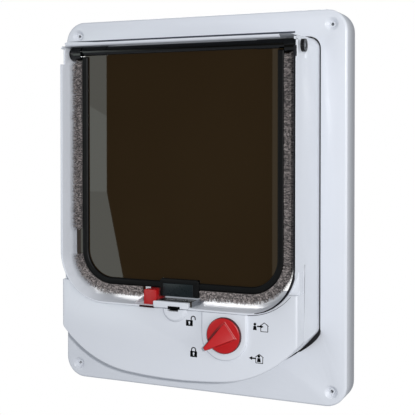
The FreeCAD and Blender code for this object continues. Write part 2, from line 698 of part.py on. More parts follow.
def catch_cover():
    """Moulded cover in the tunnel floor, with a raised block in front and slots for the
    lock hooks and the electromagnet's plunger."""
    plate_low = CATCH_PLATE_TOP - CATCH_PLATE_T
    far = HOOD_FRONT - CATCH_BLOCK_T - JOINT_GAP
    plate = block(CATCH_LEFT, CATCH_RIGHT, CATCH_REAR, far, plate_low, CATCH_PLATE_TOP)
    wire = corner_loop(CATCH_BLOCK_LEFT, CATCH_BLOCK_RIGHT, up(CATCH_PLATE_TOP) - 1.0, up(CATCH_BLOCK_TOP),
                       (1, 1, 1, 1), out(HOOD_FRONT - JOINT_GAP))
    front = prism(wire, CATCH_BLOCK_T)
    body = fuse([plate, front])
    travel_on = SLIDE_PER_RADIAN * math.radians(KNOB_TURN_ON)
    travel_back = SLIDE_PER_RADIAN * math.radians(KNOB_TURN_BACK)
    slots = []
    front_slot = (FRONT_LATCH_RIGHT - LATCH_W - travel_on, FRONT_LATCH_RIGHT + travel_back, FRONT_LATCH_DEPTH)
    rear_slot = (REAR_LATCH_RIGHT - LATCH_W - travel_back, REAR_LATCH_RIGHT + travel_on, REAR_LATCH_DEPTH)
    for left, right, depth in (front_slot, rear_slot):
        near = depth - LATCH_D / 2 - LATCH_ROOM
        slots.append(block(left - LATCH_ROOM, right + LATCH_ROOM, near, near + LATCH_D + 2 * LATCH_ROOM,
                           plate_low - 1, CATCH_PLATE_TOP + 1))
    slots.append(rod_z(COIL_X, COIL_DEPTH, PLUNGER_R + RUN_CLEARANCE * 2, plate_low - 1,
                       CATCH_PLATE_TOP + 1))
    slots.append(block(CATCH_LEFT - 1, CATCH_RIGHT + 1, FASCIA_FRONT - FASCIA_WALL - 2 * JOINT_GAP, far + 5,
                       plate_low - 1, TUNNEL_UNDER + JOINT_GAP))
    return cut(body, slots)


def pole_plate():
    """Polished steel bar on the catch cover, under the flap's magnet."""
    far = HOOD_FRONT - CATCH_BLOCK_T - JOINT_GAP
    return block(POLE_LEFT, POLE_RIGHT, POLE_REAR, far, CATCH_PLATE_TOP, POLE_TOP)


def fascia_cover():
    """Front of the control box: flat face, raised seat for the knob, domed sensor window
    and a skirt that runs back to the housing."""
    skirt_front = FASCIA_FRONT - FASCIA_EDGE
    outer = fuse([loft(housing_loop(0.0, FASCIA_REAR), housing_loop(0.0, skirt_front)),
                  loft(housing_loop(0.0, skirt_front), housing_loop(FASCIA_EDGE, FASCIA_FRONT))])
    inner = loft(housing_loop(FASCIA_WALL, FASCIA_REAR - 1),
                 housing_loop(FASCIA_WALL, FASCIA_FRONT - FASCIA_WALL))
    shell = outer.cut(inner)

    half = (PLATEAU_RIGHT - PLATEAU_LEFT) / 2
    wire = corner_loop(PLATEAU_LEFT, PLATEAU_RIGHT, up(PLATEAU_FOOT), up(TUNNEL_FLOOR),
                       (half - 0.1, half - 0.1, 0, 0),
                       out(FASCIA_FRONT + PLATEAU_RISE))
    plateau = prism(wire, PLATEAU_RISE + FASCIA_WALL)
    face_y = out(FASCIA_FRONT + PLATEAU_RISE)
    plateau = ease_edges(plateau, PLATEAU_RISE / 3, lambda edge: on_plane(edge, face_y))
    dome = rod_y(SENSOR_X, TUNNEL_UNDER, SENSOR_R, FASCIA_FRONT - FASCIA_WALL, FASCIA_FRONT + SENSOR_RISE)
    dome = ease_edges(dome, SENSOR_RISE * 0.8, lambda edge: on_plane(edge, out(FASCIA_FRONT + SENSOR_RISE)))
    body = fuse([shell, plateau, dome] + [fascia_tab(side) for side in (-1, 1)])

    hood = loft(tunnel_outer_loop(FASCIA_REAR - 2, JOINT_GAP), tunnel_outer_loop(HOOD_FRONT + 1, JOINT_GAP))
    above = block(-HOUSING_HALF_REAR - 5, HOUSING_HALF_REAR + 5, FASCIA_REAR - 2, HOOD_FRONT + 5, FASCIA_TOP,
                  HOUSING_TOP + 5)
    bore = rod_y(KNOB_X, KNOB_HEIGHT, SHAFT_R + RUN_CLEARANCE, FASCIA_REAR, HOOD_FRONT + 5)
    slot = block(SENSOR_SLOT_LEFT, SENSOR_SLOT_RIGHT, FASCIA_REAR, HOOD_FRONT + 5, TUNNEL_UNDER - SENSOR_SLOT_H,
                 TUNNEL_UNDER + 1)
    notch = block(FRONT_LATCH_RIGHT - LATCH_W, FRONT_LATCH_RIGHT, FASCIA_REAR, HOOD_FRONT + 5,
                  TUNNEL_UNDER - SENSOR_SLOT_H / 2, TUNNEL_UNDER + 1)
    return cut(body, [hood, above, bore, slot, notch])


def fascia_tab(side):
    """Tongue on the inside of the skirt, which slips inside the housing's side wall."""
    outer = half_width(FASCIA_REAR) - HOUSING_WALL - TAB_GAP
    skirt = half_width(FASCIA_FRONT) - FASCIA_WALL / 2
    low = TAB_HEIGHT - TAB_H / 2
    root = FASCIA_REAR + 2 * JOINT_GAP
    inner = outer - TAB_T
    spans = ((inner, outer, FASCIA_REAR - TAB_REACH, root + TAB_REACH),
             (inner, skirt, root, root + TAB_REACH))
    pieces = []
    for near_x, far_x, near, far in spans:
        left, right = (near_x, far_x) if side > 0 else (-far_x, -near_x)
        pieces.append(block(left, right, near, far, low, low + TAB_H))
    return fuse(pieces)


def knob_face_depth():
    return FASCIA_FRONT + PLATEAU_RISE + KNOB_FACE_GAP


def grip_outline(inset, tail_y, tip_y):
    """Wedge seen from the front, wide at its tail and narrow at the tip that it points with."""
    tail_x = inset - KNOB_TAIL
    tip_x = KNOB_TIP - inset / 2
    tail_half = KNOB_TAIL_W / 2 - inset
    tip_half = KNOB_TIP_W / 2 - inset / 2
    points = [V(tail_x, tail_y, -tail_half), V(tip_x, tip_y, -tip_half), V(tip_x, tip_y, tip_half),
              V(tail_x, tail_y, tail_half)]
    return Part.makePolygon(points + points[:1])


def control_knob():
    """Round button with a wedge-shaped finger grip across it, and a shaft through the fascia."""
    base_near = knob_face_depth()
    base = rod_y(KNOB_X, KNOB_HEIGHT, KNOB_R, base_near, base_near + KNOB_BASE_T)
    base_far = base_near + KNOB_BASE_T
    base = ease_edges(base, KNOB_BASE_EDGE, lambda edge: on_plane(edge, out(base_far)))
    root_y = out(base_near + KNOB_BASE_EDGE)
    tail_y = out(base_far + KNOB_TAIL_RISE)
    tip_y = out(base_far + KNOB_GRIP_RISE)
    grip = loft(grip_outline(0.0, root_y, root_y), grip_outline(KNOB_GRIP_DRAFT, tail_y, tip_y))
    grip.rotate(V(0, 0, 0), V(0, -1, 0), KNOB_POINTS_AT)
    grip.translate(V(KNOB_X, 0, up(KNOB_HEIGHT)))
    shaft = rod_y(KNOB_X, KNOB_HEIGHT, SHAFT_R, CAM_FRONT - CAM_T, base_near + 1.0)
    screw_hole = rod_y(KNOB_X, KNOB_HEIGHT, 1.25, CAM_FRONT - CAM_T - 1, base_near)
    return fuse([base, grip, shaft]).cut(screw_hole)


def knob_screw():
    """Pan head screw up the shaft, which holds the cam on it."""
    near = CAM_FRONT - CAM_T
    head = rod_y(KNOB_X, KNOB_HEIGHT, 2.9, near - 2.0, near)
    shank = rod_y(KNOB_X, KNOB_HEIGHT, 1.25, near - 1, knob_face_depth() - 2.0)
    return fuse([head, shank])


def spiral_edge(offset, hand, y):
    """Edge of a scroll groove: the radius changes evenly with the angle."""
    points = []
    steps = 2 * GROOVE_ARCS
    first = math.radians(-KNOB_TURN_BACK - GROOVE_RUN_OUT)
    last = math.radians(KNOB_TURN_ON + GROOVE_RUN_OUT)
    for step in range(steps + 1):
        turn = first + (last - first) * step / steps
        radius = GROOVE_START_R + hand * SLIDE_PER_RADIAN * turn + offset
        angle = math.pi - turn
        points.append(V(KNOB_X + radius * math.cos(angle), y, up(KNOB_HEIGHT) + radius * math.sin(angle)))
    arcs = [Part.Arc(points[n], points[n + 1], points[n + 2]).toShape() for n in range(0, steps, 2)]
    return arcs, points[0], points[-1]


def scroll_groove(hand, near):
    """Spiral groove that drives one slider's pin."""
    y = out(near)
    half = CAM_PIN_R + CAM_CLEARANCE
    outer, outer_first, outer_last = spiral_edge(half, hand, y)
    inner, inner_first, inner_last = spiral_edge(-half, hand, y)
    ends = [Part.LineSegment(outer_first, inner_first).toShape(),
            Part.LineSegment(outer_last, inner_last).toShape()]
    return Part.Face(closed_wire(outer + inner + ends)).extrude(V(0, -GROOVE_DEPTH, 0))


def scroll_cam():
    """Disc on the knob's shaft with a spiral groove in each face, one for each slider."""
    disc = rod_y(KNOB_X, KNOB_HEIGHT, CAM_R, CAM_FRONT - CAM_T, CAM_FRONT)
    bore = rod_y(KNOB_X, KNOB_HEIGHT, SHAFT_R, CAM_FRONT - CAM_T - 1, CAM_FRONT + 1)
    front_groove = scroll_groove(1, CAM_FRONT - GROOVE_DEPTH)
    rear_groove = scroll_groove(-1, CAM_FRONT - CAM_T)
    return cut(disc, [bore, front_groove, rear_groove])


def slider(front):
    """Flat bar with a pin in the cam's groove at one end and a hook up through the floor
    at the other."""
    pin_x = KNOB_X - GROOVE_START_R
    if front:
        near = CAM_FRONT + SLIDER_SPACE
        pin = rod_y(pin_x, KNOB_HEIGHT, CAM_PIN_R, CAM_FRONT - GROOVE_DEPTH + 0.3, near + 0.5)
        right, depth = FRONT_LATCH_RIGHT, FRONT_LATCH_DEPTH
    else:
        near = CAM_FRONT - CAM_T - SLIDER_SPACE - SLIDER_T
        pin = rod_y(pin_x, KNOB_HEIGHT, CAM_PIN_R, near + SLIDER_T - 0.5,
                    CAM_FRONT - CAM_T + GROOVE_DEPTH - 0.3)
        right, depth = REAR_LATCH_RIGHT, REAR_LATCH_DEPTH
    low = KNOB_HEIGHT - SLIDER_H / 2
    high = KNOB_HEIGHT + SLIDER_H / 2
    left = right - LATCH_W
    wire = corner_loop(left, pin_x + 2.4, up(low), up(high), (2, 2, 2, 2), out(near + SLIDER_T))
    bar = prism(wire, SLIDER_T)
    arm_near = min(near, depth - LATCH_D / 2)
    arm_far = max(near + SLIDER_T, depth + LATCH_D / 2)
    arm = block(left, right, arm_near, arm_far, high - 5.0, high)
    hook_wire = corner_loop(left, right, up(high - 5.0), up(LATCH_TOP), (0, 0, 1.5, 1.5),
                            out(depth + LATCH_D / 2))
    hook = prism(hook_wire, LATCH_D)
    return fuse([bar, arm, hook, pin])


def solenoid_frame():
    """Folded steel yoke round the coil, with a hole in its top for the plunger."""
    left = COIL_X - YOKE_W / 2
    right = COIL_X + YOKE_W / 2
    near = COIL_DEPTH - YOKE_D / 2
    far = COIL_DEPTH + YOKE_D / 2
    outer = block(left, right, near, far, YOKE_BOTTOM, YOKE_TOP)
    inner = block(left + YOKE_T, right - YOKE_T, near - 1, far + 1, YOKE_BOTTOM + YOKE_T, YOKE_TOP - YOKE_T)
    hole = rod_z(COIL_X, COIL_DEPTH, PLUNGER_R + 0.4, YOKE_TOP - YOKE_T - 1, YOKE_TOP + 1)
    foot_low = housing_floor_height(0.0)
    feet = block(left, right, COIL_DEPTH - 2, COIL_DEPTH + 2, foot_low, YOKE_BOTTOM)
    return fuse([outer.cut(inner).cut(hole), feet])


def housing_floor_height(x):
    """Height of the inside of the box's bowed bottom in its middle stretch."""
    low = HOUSING_BOTTOM + HOUSING_WALL
    r = SMILE_MID_R
    return low + r - math.sqrt(r * r - x * x) + 0.5


def solenoid_bobbin():
    """Spool inside the yoke."""
    low = YOKE_BOTTOM + YOKE_T
    high = YOKE_TOP - YOKE_T
    tube = rod_z(COIL_X, COIL_DEPTH, BOBBIN_TUBE_R, low, high)
    flanges = [rod_z(COIL_X, COIL_DEPTH, BOBBIN_FLANGE_R, low, low + BOBBIN_FLANGE_T),
               rod_z(COIL_X, COIL_DEPTH, BOBBIN_FLANGE_R, high - BOBBIN_FLANGE_T, high)]
    bore = rod_z(COIL_X, COIL_DEPTH, PLUNGER_R + RUN_CLEARANCE, low + 1.5, high + 1)
    return fuse([tube] + flanges).cut(bore)


def solenoid_coil():
    """Copper winding on the spool."""
    low = YOKE_BOTTOM + YOKE_T + BOBBIN_FLANGE_T
    high = YOKE_TOP - YOKE_T - BOBBIN_FLANGE_T
    body = rod_z(COIL_X, COIL_DEPTH, COIL_R, low, high)
    return body.cut(rod_z(COIL_X, COIL_DEPTH, BOBBIN_TUBE_R, low - 1, high + 1))


def collar_bottom():
    return YOKE_TOP + PLUNGER_STROKE + SPRING_CLOSED


def plunger():
    """Steel rod that rises through the floor behind the flap, with a collar for its spring."""
    rod = rod_z(COIL_X, COIL_DEPTH, PLUNGER_R, PLUNGER_BOTTOM, PLUNGER_TOP)
    rod = ease_edges(rod, PLUNGER_TIP,
                     lambda edge: edge.Closed and edge.BoundBox.ZMin > up(PLUNGER_TOP) - 0.01)
    collar = rod_z(COIL_X, COIL_DEPTH, COLLAR_R, collar_bottom(), collar_bottom() + COLLAR_T)
    return fuse([rod, collar])


def plunger_spring():
    """Coil spring between the yoke and the collar."""
    low = up(YOKE_TOP) + SPRING_WIRE / 2
    length = collar_bottom() - YOKE_TOP - SPRING_WIRE
    helix = Part.makeHelix(length / SPRING_TURNS, length, SPRING_R)
    half = SPRING_WIRE / 2
    corners = [V(SPRING_R + dx * half, 0, dz * half)
               for dx, dz in ((-1, -1), (1, -1), (1, 1), (-1, 1), (-1, -1))]
    coil = Part.Wire(helix.Edges).makePipeShell([Part.makePolygon(corners)], True, True)
    coil.translate(V(COIL_X, out(COIL_DEPTH), low))
    return coil


def cell_depth(index):
    """Depth of a cell's axis. The four cells lie side by side, from the back forward."""
    return CELL_PITCH * (index + 0.5) - PLATE_DEPTH + BACK_WALL + TRAY_WALL + RUN_CLEARANCE


def battery_tray():
    """Open moulded tray with a round-bottomed trough for each cell."""
    near = cell_depth(0) - CELL_PITCH / 2 - TRAY_WALL
    far = cell_depth(CELL_COUNT - 1) + CELL_PITCH / 2 + TRAY_WALL
    low = CELL_HEIGHT - CELL_D / 2 - TRAY_WALL
    body = block(TRAY_LEFT, TRAY_RIGHT, near, far, low, CELL_HEIGHT)
    troughs = [rod_x(CELL_D / 2 + 0.05, TRAY_LEFT + TRAY_WALL, TRAY_RIGHT - TRAY_WALL, CELL_HEIGHT,
                     cell_depth(n))
               for n in range(CELL_COUNT)]
    return cut(body, troughs)


def battery_cell(index):
    """Round cell with its raised terminal. Neighbours lie head to tail."""
    start = TRAY_LEFT + TRAY_WALL + CONTACT_T + CONTACT_SPACE
    reach = CELL_LENGTH + CELL_NIPPLE
    flip_cell = index % 2 == 1
    body_start = start + (CELL_NIPPLE if flip_cell else 0.0)
    body = rod_x(CELL_D / 2, body_start, body_start + CELL_LENGTH, CELL_HEIGHT, cell_depth(index))
    nipple = hex_rod(CELL_NIPPLE_D, V(start, out(cell_depth(index)), up(CELL_HEIGHT)), reach, V(1, 0, 0))
    return fuse([body, nipple])


def battery_contacts():
    """Sprung strips at both ends of the cells, each with a button for the terminal."""
    strips = []
    width = CELL_D * 0.62
    for end in (0, 1):
        wall_x = TRAY_LEFT + TRAY_WALL if end == 0 else TRAY_RIGHT - TRAY_WALL - CONTACT_T
        for index in range(CELL_COUNT):
            depth = cell_depth(index)
            strip = block(wall_x, wall_x + CONTACT_T, depth - width / 2, depth + width / 2,
                          CELL_HEIGHT - CELL_D / 3, CELL_HEIGHT + CELL_D / 3)
            button_start = wall_x if end == 0 else wall_x - CONTACT_SPACE
            button = block(button_start, button_start + CONTACT_T + CONTACT_SPACE, depth - BUTTON_W / 2,
                           depth + BUTTON_W / 2, CELL_HEIGHT - BUTTON_W / 2, CELL_HEIGHT + BUTTON_W / 2)
            strips.append(fuse([strip, button]))
    return Part.makeCompound(strips)


def circuit_board():
    """Board on four posts, with its larger parts on it."""
    near = BOARD_DEPTH
    wire = corner_loop(BOARD_LEFT, BOARD_RIGHT, up(BOARD_LOW), up(BOARD_HIGH), (BOARD_CORNER_R,) * 4,
                       out(near + BOARD_T))
    board = prism(wire, BOARD_T)
    top = near + BOARD_T
    sunk = BOARD_T / 5
    parts = [board]
    for across, along, width, height, rise in BOARD_PARTS:
        left = BOARD_LEFT + across
        low = BOARD_LOW + along
        parts.append(block(left, left + width, top - sunk, top + rise, low, low + height))
    parts.append(rod_y(BOARD_RIGHT - CAPACITOR_INSET, BOARD_LOW + CAPACITOR_INSET, CAPACITOR_R, top - sunk,
                       top + CAPACITOR_RISE))
    return fuse(parts)


def board_posts():
    """Places of the posts that carry the board, on the box's back wall."""
    for x in (BOARD_LEFT + POST_INSET, BOARD_RIGHT - POST_INSET):
        for height in (BOARD_LOW + POST_INSET, BOARD_HIGH - POST_INSET):
            yield x, height


def ferrite_rod():
    half = FERRITE_LENGTH / 2
    return rod_x(FERRITE_D / 2, -half, half, FERRITE_HEIGHT, FERRITE_DEPTH)


def pickup_winding():
    """Copper winding on the ferrite rod that senses the magnet on the collar."""
    half = WINDING_LENGTH / 2
    body = rod_x(WINDING_R, -half, half, FERRITE_HEIGHT, FERRITE_DEPTH)
    return body.cut(ferrite_rod())


def housing_screws():
    """Six screws through the lugs into the plate's bosses."""
    screws = []
    for side, x, height in lug_places():
        seat = V(x, LUG_T - LUG_SEAT_DEPTH, up(height))
        head = hex_rod(LUG_HEAD_W, seat, LUG_HEAD_T, V(0, 1, 0))
        shank = hex_rod(LUG_SCREW_D - 2 * RUN_CLEARANCE, seat, LUG_T + LUG_SCREW_GRIP, V(0, -1, 0))
        screws.append(fuse([head, shank]))
    return Part.makeCompound(screws)


def inner_supports():
    """Posts, cradles and tray rails on the box's back wall and floor."""
    back = -PLATE_DEPTH + BACK_WALL
    parts = []
    for x, height in board_posts():
        parts.append(hex_rod(POST_W, V(x, out(back - BACK_WALL / 2), up(height)),
                             BOARD_DEPTH - back + BACK_WALL / 2, V(0, -1, 0)))
    for side in (-1, 1):
        x = side * (WINDING_LENGTH / 2 + CRADLE_GAP)
        cradle = block(x - CRADLE_T / 2, x + CRADLE_T / 2, back - BACK_WALL / 2, FERRITE_DEPTH,
                       FERRITE_HEIGHT - CRADLE_HALF_H, FERRITE_HEIGHT + CRADLE_HALF_H)
        parts.append(cradle.cut(ferrite_rod()))
    return parts


def housing_with_supports():
    return fuse([flap_housing()] + inner_supports())


NODES = {
    "door_plate": door_plate,
    "flap_housing": housing_with_supports,
    "fascia_cover": fascia_cover,
    "catch_cover": catch_cover,
    "pole_plate": pole_plate,
    "housing_screws": housing_screws,
    "pivot_bush_left": lambda: pivot_bush(-1),
    "pivot_bush_right": lambda: pivot_bush(1),
    "hinge_bar": hinge_bar,
    "hinge_pin_left": lambda: hinge_pin(-1),
    "hinge_pin_right": lambda: hinge_pin(1),
    "flap_panel": flap_panel,
    "flap_bead_front": lambda: flap_bead(1),
    "flap_bead_rear": lambda: flap_bead(-1),
    "pile_strip_left": lambda: pile_strip("left"),
    "pile_strip_right": lambda: pile_strip("right"),
    "pile_strip_lower_left": lambda: pile_strip("lower_left"),
    "pile_strip_lower_right": lambda: pile_strip("lower_right"),
    "magnet_holder": magnet_holder,
    "flap_magnet": flap_magnet,
    "control_knob": control_knob,
    "knob_screw": knob_screw,
    "scroll_cam": scroll_cam,
    "front_lock_slider": lambda: slider(True),
    "rear_lock_slider": lambda: slider(False),
    "solenoid_frame": solenoid_frame,
    "solenoid_bobbin": solenoid_bobbin,
    "solenoid_coil": solenoid_coil,
    "plunger": plunger,
    "plunger_spring": plunger_spring,
    "battery_tray": battery_tray,
    "battery_contacts": battery_contacts,
    "circuit_board": circuit_board,
    "ferrite_rod": ferrite_rod,
    "pickup_winding": pickup_winding,
}
for number in range(CELL_COUNT):
    NODES["battery_cell_%d" % (number + 1)] = lambda index=number: battery_cell(index)

for node, make in NODES.items():
    shape = make()
    shape.exportStep("parts/%s.step" % node)
    print(node, len(shape.Solids), shape.isValid(), round(shape.Volume / 1000, 2))
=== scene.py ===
import math

import bmesh
import bpy
import numpy as np
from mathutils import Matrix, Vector


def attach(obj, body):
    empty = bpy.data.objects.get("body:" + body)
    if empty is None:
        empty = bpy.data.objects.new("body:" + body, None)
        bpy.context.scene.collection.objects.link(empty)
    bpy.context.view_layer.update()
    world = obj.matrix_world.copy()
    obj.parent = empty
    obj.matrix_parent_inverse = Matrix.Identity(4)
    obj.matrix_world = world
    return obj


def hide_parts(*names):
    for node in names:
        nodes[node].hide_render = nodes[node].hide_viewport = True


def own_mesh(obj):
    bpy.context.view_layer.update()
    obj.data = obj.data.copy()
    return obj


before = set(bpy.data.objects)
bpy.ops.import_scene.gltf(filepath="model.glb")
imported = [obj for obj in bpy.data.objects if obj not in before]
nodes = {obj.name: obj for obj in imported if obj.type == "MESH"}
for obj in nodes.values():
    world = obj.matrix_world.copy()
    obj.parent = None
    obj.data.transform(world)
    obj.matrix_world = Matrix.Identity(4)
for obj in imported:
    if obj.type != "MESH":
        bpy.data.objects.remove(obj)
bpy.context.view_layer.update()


# Photo set: camera, lamps and paper backdrop.
# The camera stands low and to the right of the flap. A small hard lamp lights it from the right and soft lamps
# fill the sides and the back. A bright card gives the sheet its grey sheen, and the paper round it is white.

CAMERA_AT = (0.2822, -0.6573, 0.0542)
SHEET_MIDDLE = -0.0535


def placed(name, data):
    """New object in the scene that shows this mesh, lamp or camera."""
    item = bpy.data.objects.new(name, data)
    bpy.context.scene.collection.objects.link(item)
    return item


def add_camera():
    """Long lens, shifted down and aimed almost level."""
    data = bpy.data.cameras.new("camera")
    data.lens = 78.08
    data.sensor_width = 36.0
    data.shift_y = -0.1394
    camera = placed("camera", data)
    camera.location = CAMERA_AT
    camera.rotation_euler = (math.radians(89.009), 0.0, math.radians(23.313))
    bpy.context.scene.camera = camera


def add_lamp(name, azimuth, elevation, distance, size, power, target=(0.0, -0.04, 0.0)):
    """Square lamp this many degrees right of straight ahead and above level, aimed at the target."""
    az, el = math.radians(azimuth), math.radians(elevation)
    way = Vector((math.sin(az) * math.cos(el), -math.cos(az) * math.cos(el), math.sin(el)))
    data = bpy.data.lights.new(name, "AREA")
    data.shape = "SQUARE"
    data.size = size
    data.energy = power
    lamp = placed(name, data)
    lamp.location = Vector(target) + way * distance
    lamp.rotation_euler = (-way).to_track_quat("-Z", "Y").to_euler()


def background(tree, colour, strength):
    """Even glow of the surroundings."""
    node = tree.nodes.new("ShaderNodeBackground")
    node.inputs["Color"].default_value = (*colour, 1.0)
    node.inputs["Strength"].default_value = strength
    return node.outputs[0]


def add_world():
    """Even light from all round, and pure white where the camera looks past the flap."""
    world = bpy.data.worlds.new("paper")
    bpy.context.scene.world = world
    world.use_nodes = True
    tree = world.node_tree
    tree.nodes.clear()
    out = tree.nodes.new("ShaderNodeOutputWorld")
    mix = tree.nodes.new("ShaderNodeMixShader")
    path = tree.nodes.new("ShaderNodeLightPath")
    room_light = background(tree, (0.87, 0.92, 1.0), 0.39)
    white_paper = background(tree, (1.0, 1.0, 1.0), 1.0)
    tree.links.new(path.outputs["Is Camera Ray"], mix.inputs["Fac"])
    tree.links.new(room_light, mix.inputs[1])
    tree.links.new(white_paper, mix.inputs[2])
    tree.links.new(mix.outputs[0], out.inputs["Surface"])


def stage_card(name, corners, colour, strength):
    """Flat card of even brightness, out of the camera's sight."""
    mesh = bpy.data.meshes.new(name)
    mesh.from_pydata([tuple(corner) for corner in corners], [], [tuple(range(len(corners)))])
    card = placed(name, mesh)
    material = bpy.data.materials.new(name)
    material.use_nodes = True
    tree = material.node_tree
    tree.nodes.clear()
    out = tree.nodes.new("ShaderNodeOutputMaterial")
    glow = tree.nodes.new("ShaderNodeEmission")
    glow.inputs["Color"].default_value = (*colour, 1.0)
    glow.inputs["Strength"].default_value = strength
    tree.links.new(glow.outputs[0], out.inputs["Surface"])
    mesh.materials.append(material)
    card.visible_camera = False
    return card


def mirrored_card(name, outline, reach, colour, strength):
    """Card that the sheet mirrors where the outline (x and z on the sheet) lies, seen from the camera.

    Each corner is m + (s - m) * reach, where s is the point on the sheet and m the camera's mirror image.
    """
    x, y, z = CAMERA_AT
    mirrored = Vector((x, 2 * SHEET_MIDDLE - y, z))
    corners = [mirrored + (Vector((x, SHEET_MIDDLE, z)) - mirrored) * reach for x, z in outline]
    card = stage_card(name, corners, colour, strength)
    card.visible_diffuse = False
    card.visible_shadow = False


def add_cards():
    """The sheet mirrors a lit card on its left: the card's right edge is upright at the top and leans in lower
    down, which gives the grey strip its slanting end. Near its right edge it mirrors a thin warm strip, and a
    dark room everywhere else. A dim flag beside the plate keeps light off its right side."""
    green, warm, brown = (0.90, 1.0, 0.97), (1.0, 0.9, 0.7), (1.0, 0.8, 0.6)
    left, edge, notch = -0.30, -0.0615, (-0.0900, 0.083)
    near, middle, far = 2.2, 2.3, 2.4
    for name, outline, reach, colour, strength in (
            ("lit card top", ((edge, 0.140), (edge, 0.068), notch, (left, 0.083), (left, 0.140)),
             near, green, 1.60),
            ("lit card middle", (notch, (edge, 0.068), (edge, 0.010), (left, 0.010), (left, 0.083)),
             near, green, 2.15),
            ("lit card foot", ((edge, 0.010), (-0.0430, -0.075), (left, -0.075), (left, 0.010)),
             near, green, 1.70),
            ("lit strip", ((0.0725, 0.14), (0.0725, -0.05), (0.0765, -0.05), (0.0765, 0.14)),
             middle, warm, 0.55),
            ("dark room", ((-0.10, 0.15), (-0.10, -0.10), (0.12, -0.10), (0.12, 0.15)),
             far, brown, 0.05)):
        mirrored_card(name, outline, reach, colour, strength)
    flag_x, flag_rear, flag_front, flag_top = 0.135, 0.03, -0.020, 0.17
    flag = stage_card("side flag", ((flag_x, flag_rear, -flag_top), (flag_x, flag_rear, flag_top),
                                    (flag_x, flag_front, flag_top), (flag_x, flag_front, -flag_top)),
                      (1.0, 1.0, 1.0), 0.10)
    flag.visible_glossy = False


add_camera()
add_world()
add_cards()
add_lamp("key", 29.0, 12.0, 1.3, 0.03, 8.3, target=(0.0, -0.04, -0.03))
add_lamp("side", 70.0, 6.0, 1.2, 0.60, 3.3)
add_lamp("rim", -62.0, 20.0, 1.5, 0.5, 0.8)
add_lamp("back", 200.0, 28.0, 1.5, 0.6, 6.0)
bpy.context.scene.view_settings.view_transform = "Standard"


# White mouldings: the door plate, the housing with its hood, the fascia and the catch cover.
# Glossy white plastic, injection moulded, so each corner is a little soft and the gloss drifts slightly.
# The shapes are copies of the solids with their outer corners rolled over.

WELD = 2e-6
FLAT = math.radians(0.4)
GRAIN_RISE = 0.0002


class Wire:
    """A socket, or a plain number or colour, that adds up, multiplies and mixes with others."""

    tree = None

    def __init__(self, value):
        self.value = value

    def into(self, socket):
        if hasattr(self.value, "is_output"):
            Wire.tree.links.new(self.value, socket)
        else:
            socket.default_value = self.value

    @staticmethod
    def of(value):
        return value if isinstance(value, Wire) else Wire(value)

    @staticmethod
    def maths(kind, *terms):
        node = Wire.tree.nodes.new("ShaderNodeMath")
        node.operation = kind
        for index, term in enumerate(terms):
            Wire.of(term).into(node.inputs[index])
        return Wire(node.outputs[0])

    def __add__(self, other):
        return Wire.maths("ADD", self, other)

    def __sub__(self, other):
        return Wire.maths("SUBTRACT", self, other)

    def __mul__(self, other):
        return Wire.maths("MULTIPLY", self, other)

    def step(self, low, high):
        """0 up to low, 1 from high on, and a smooth rise between."""
        node = Wire.tree.nodes.new("ShaderNodeMapRange")
        node.interpolation_type = "SMOOTHSTEP"
        self.into(node.inputs["Value"])
        node.inputs["From Min"].default_value = low
        node.inputs["From Max"].default_value = high
        return Wire(node.outputs["Result"])

    def mix(self, first, second):
        """Colour that runs from the first to the second as this goes from 0 to 1."""
        node = Wire.tree.nodes.new("ShaderNodeMix")
        node.data_type = "RGBA"
        self.into(node.inputs[0])
        Wire.of(first).into(node.inputs[6])
        Wire.of(second).into(node.inputs[7])
        return Wire(node.outputs[2])


def place():
    """The object's own coordinates, as three Wires in metres."""
    coordinates = Wire.tree.nodes.new("ShaderNodeTexCoord")
    split = Wire.tree.nodes.new("ShaderNodeSeparateXYZ")
    Wire.tree.links.new(coordinates.outputs["Object"], split.inputs[0])
    return [Wire(split.outputs[axis]) for axis in range(3)]


def noise(scale, detail=2.0, stretch=(1.0, 1.0, 1.0)):
    """Noise with about this many waves a metre."""
    coordinates = Wire.tree.nodes.new("ShaderNodeTexCoord")
    mapping = Wire.tree.nodes.new("ShaderNodeMapping")
    mapping.inputs["Scale"].default_value = stretch
    node = Wire.tree.nodes.new("ShaderNodeTexNoise")
    node.inputs["Scale"].default_value = scale
    node.inputs["Detail"].default_value = detail
    Wire.tree.links.new(coordinates.outputs["Object"], mapping.inputs["Vector"])
    Wire.tree.links.new(mapping.outputs[0], node.inputs["Vector"])
    return Wire(node.outputs[0])


def shade(red, green, blue):
    """Linear colour from 0-255 display values."""
    return tuple((level / 255.0) ** 2.2 for level in (red, green, blue)) + (1.0,)


def new_material(name):
    """Material with its shader. The Wires made from here on belong to it."""
    material = bpy.data.materials.new(name)
    material.use_nodes = True
    Wire.tree = material.node_tree
    return material, material.node_tree.nodes["Principled BSDF"]


def relief(shader, height, strength, distance):
    """Fine bumps that stand this many metres high where height is 1."""
    node = Wire.tree.nodes.new("ShaderNodeBump")
    node.inputs["Strength"].default_value = strength
    node.inputs["Distance"].default_value = distance
    height.into(node.inputs["Height"])
    Wire.tree.links.new(node.outputs[0], shader.inputs["Normal"])


def finish(name, dark, light, rough, metal=0.0, grain=400.0, bumps=0.0, sheen=0.5):
    """A moulded, turned or drawn finish: colour and gloss drift a little over the surface.

    The roughness is rough * (0.8 + 0.4 * drift), with drift from 0 to 1.
    """
    material, shader = new_material(name)
    drift = noise(grain, 3.0)
    drift.mix(shade(*dark), shade(*light)).into(shader.inputs["Base Color"])
    (drift * (0.4 * rough) + 0.8 * rough).into(shader.inputs["Roughness"])
    shader.inputs["Metallic"].default_value = metal
    shader.inputs["Specular IOR Level"].default_value = sheen
    if bumps > 0:
        relief(shader, drift, bumps, GRAIN_RISE)
    return material


def add_piece(name, mesh, material, body="frame"):
    """Object with this mesh and finish that moves with the body."""
    mesh.materials.append(material)
    piece = placed(name, mesh)
    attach(piece, body)
    return piece


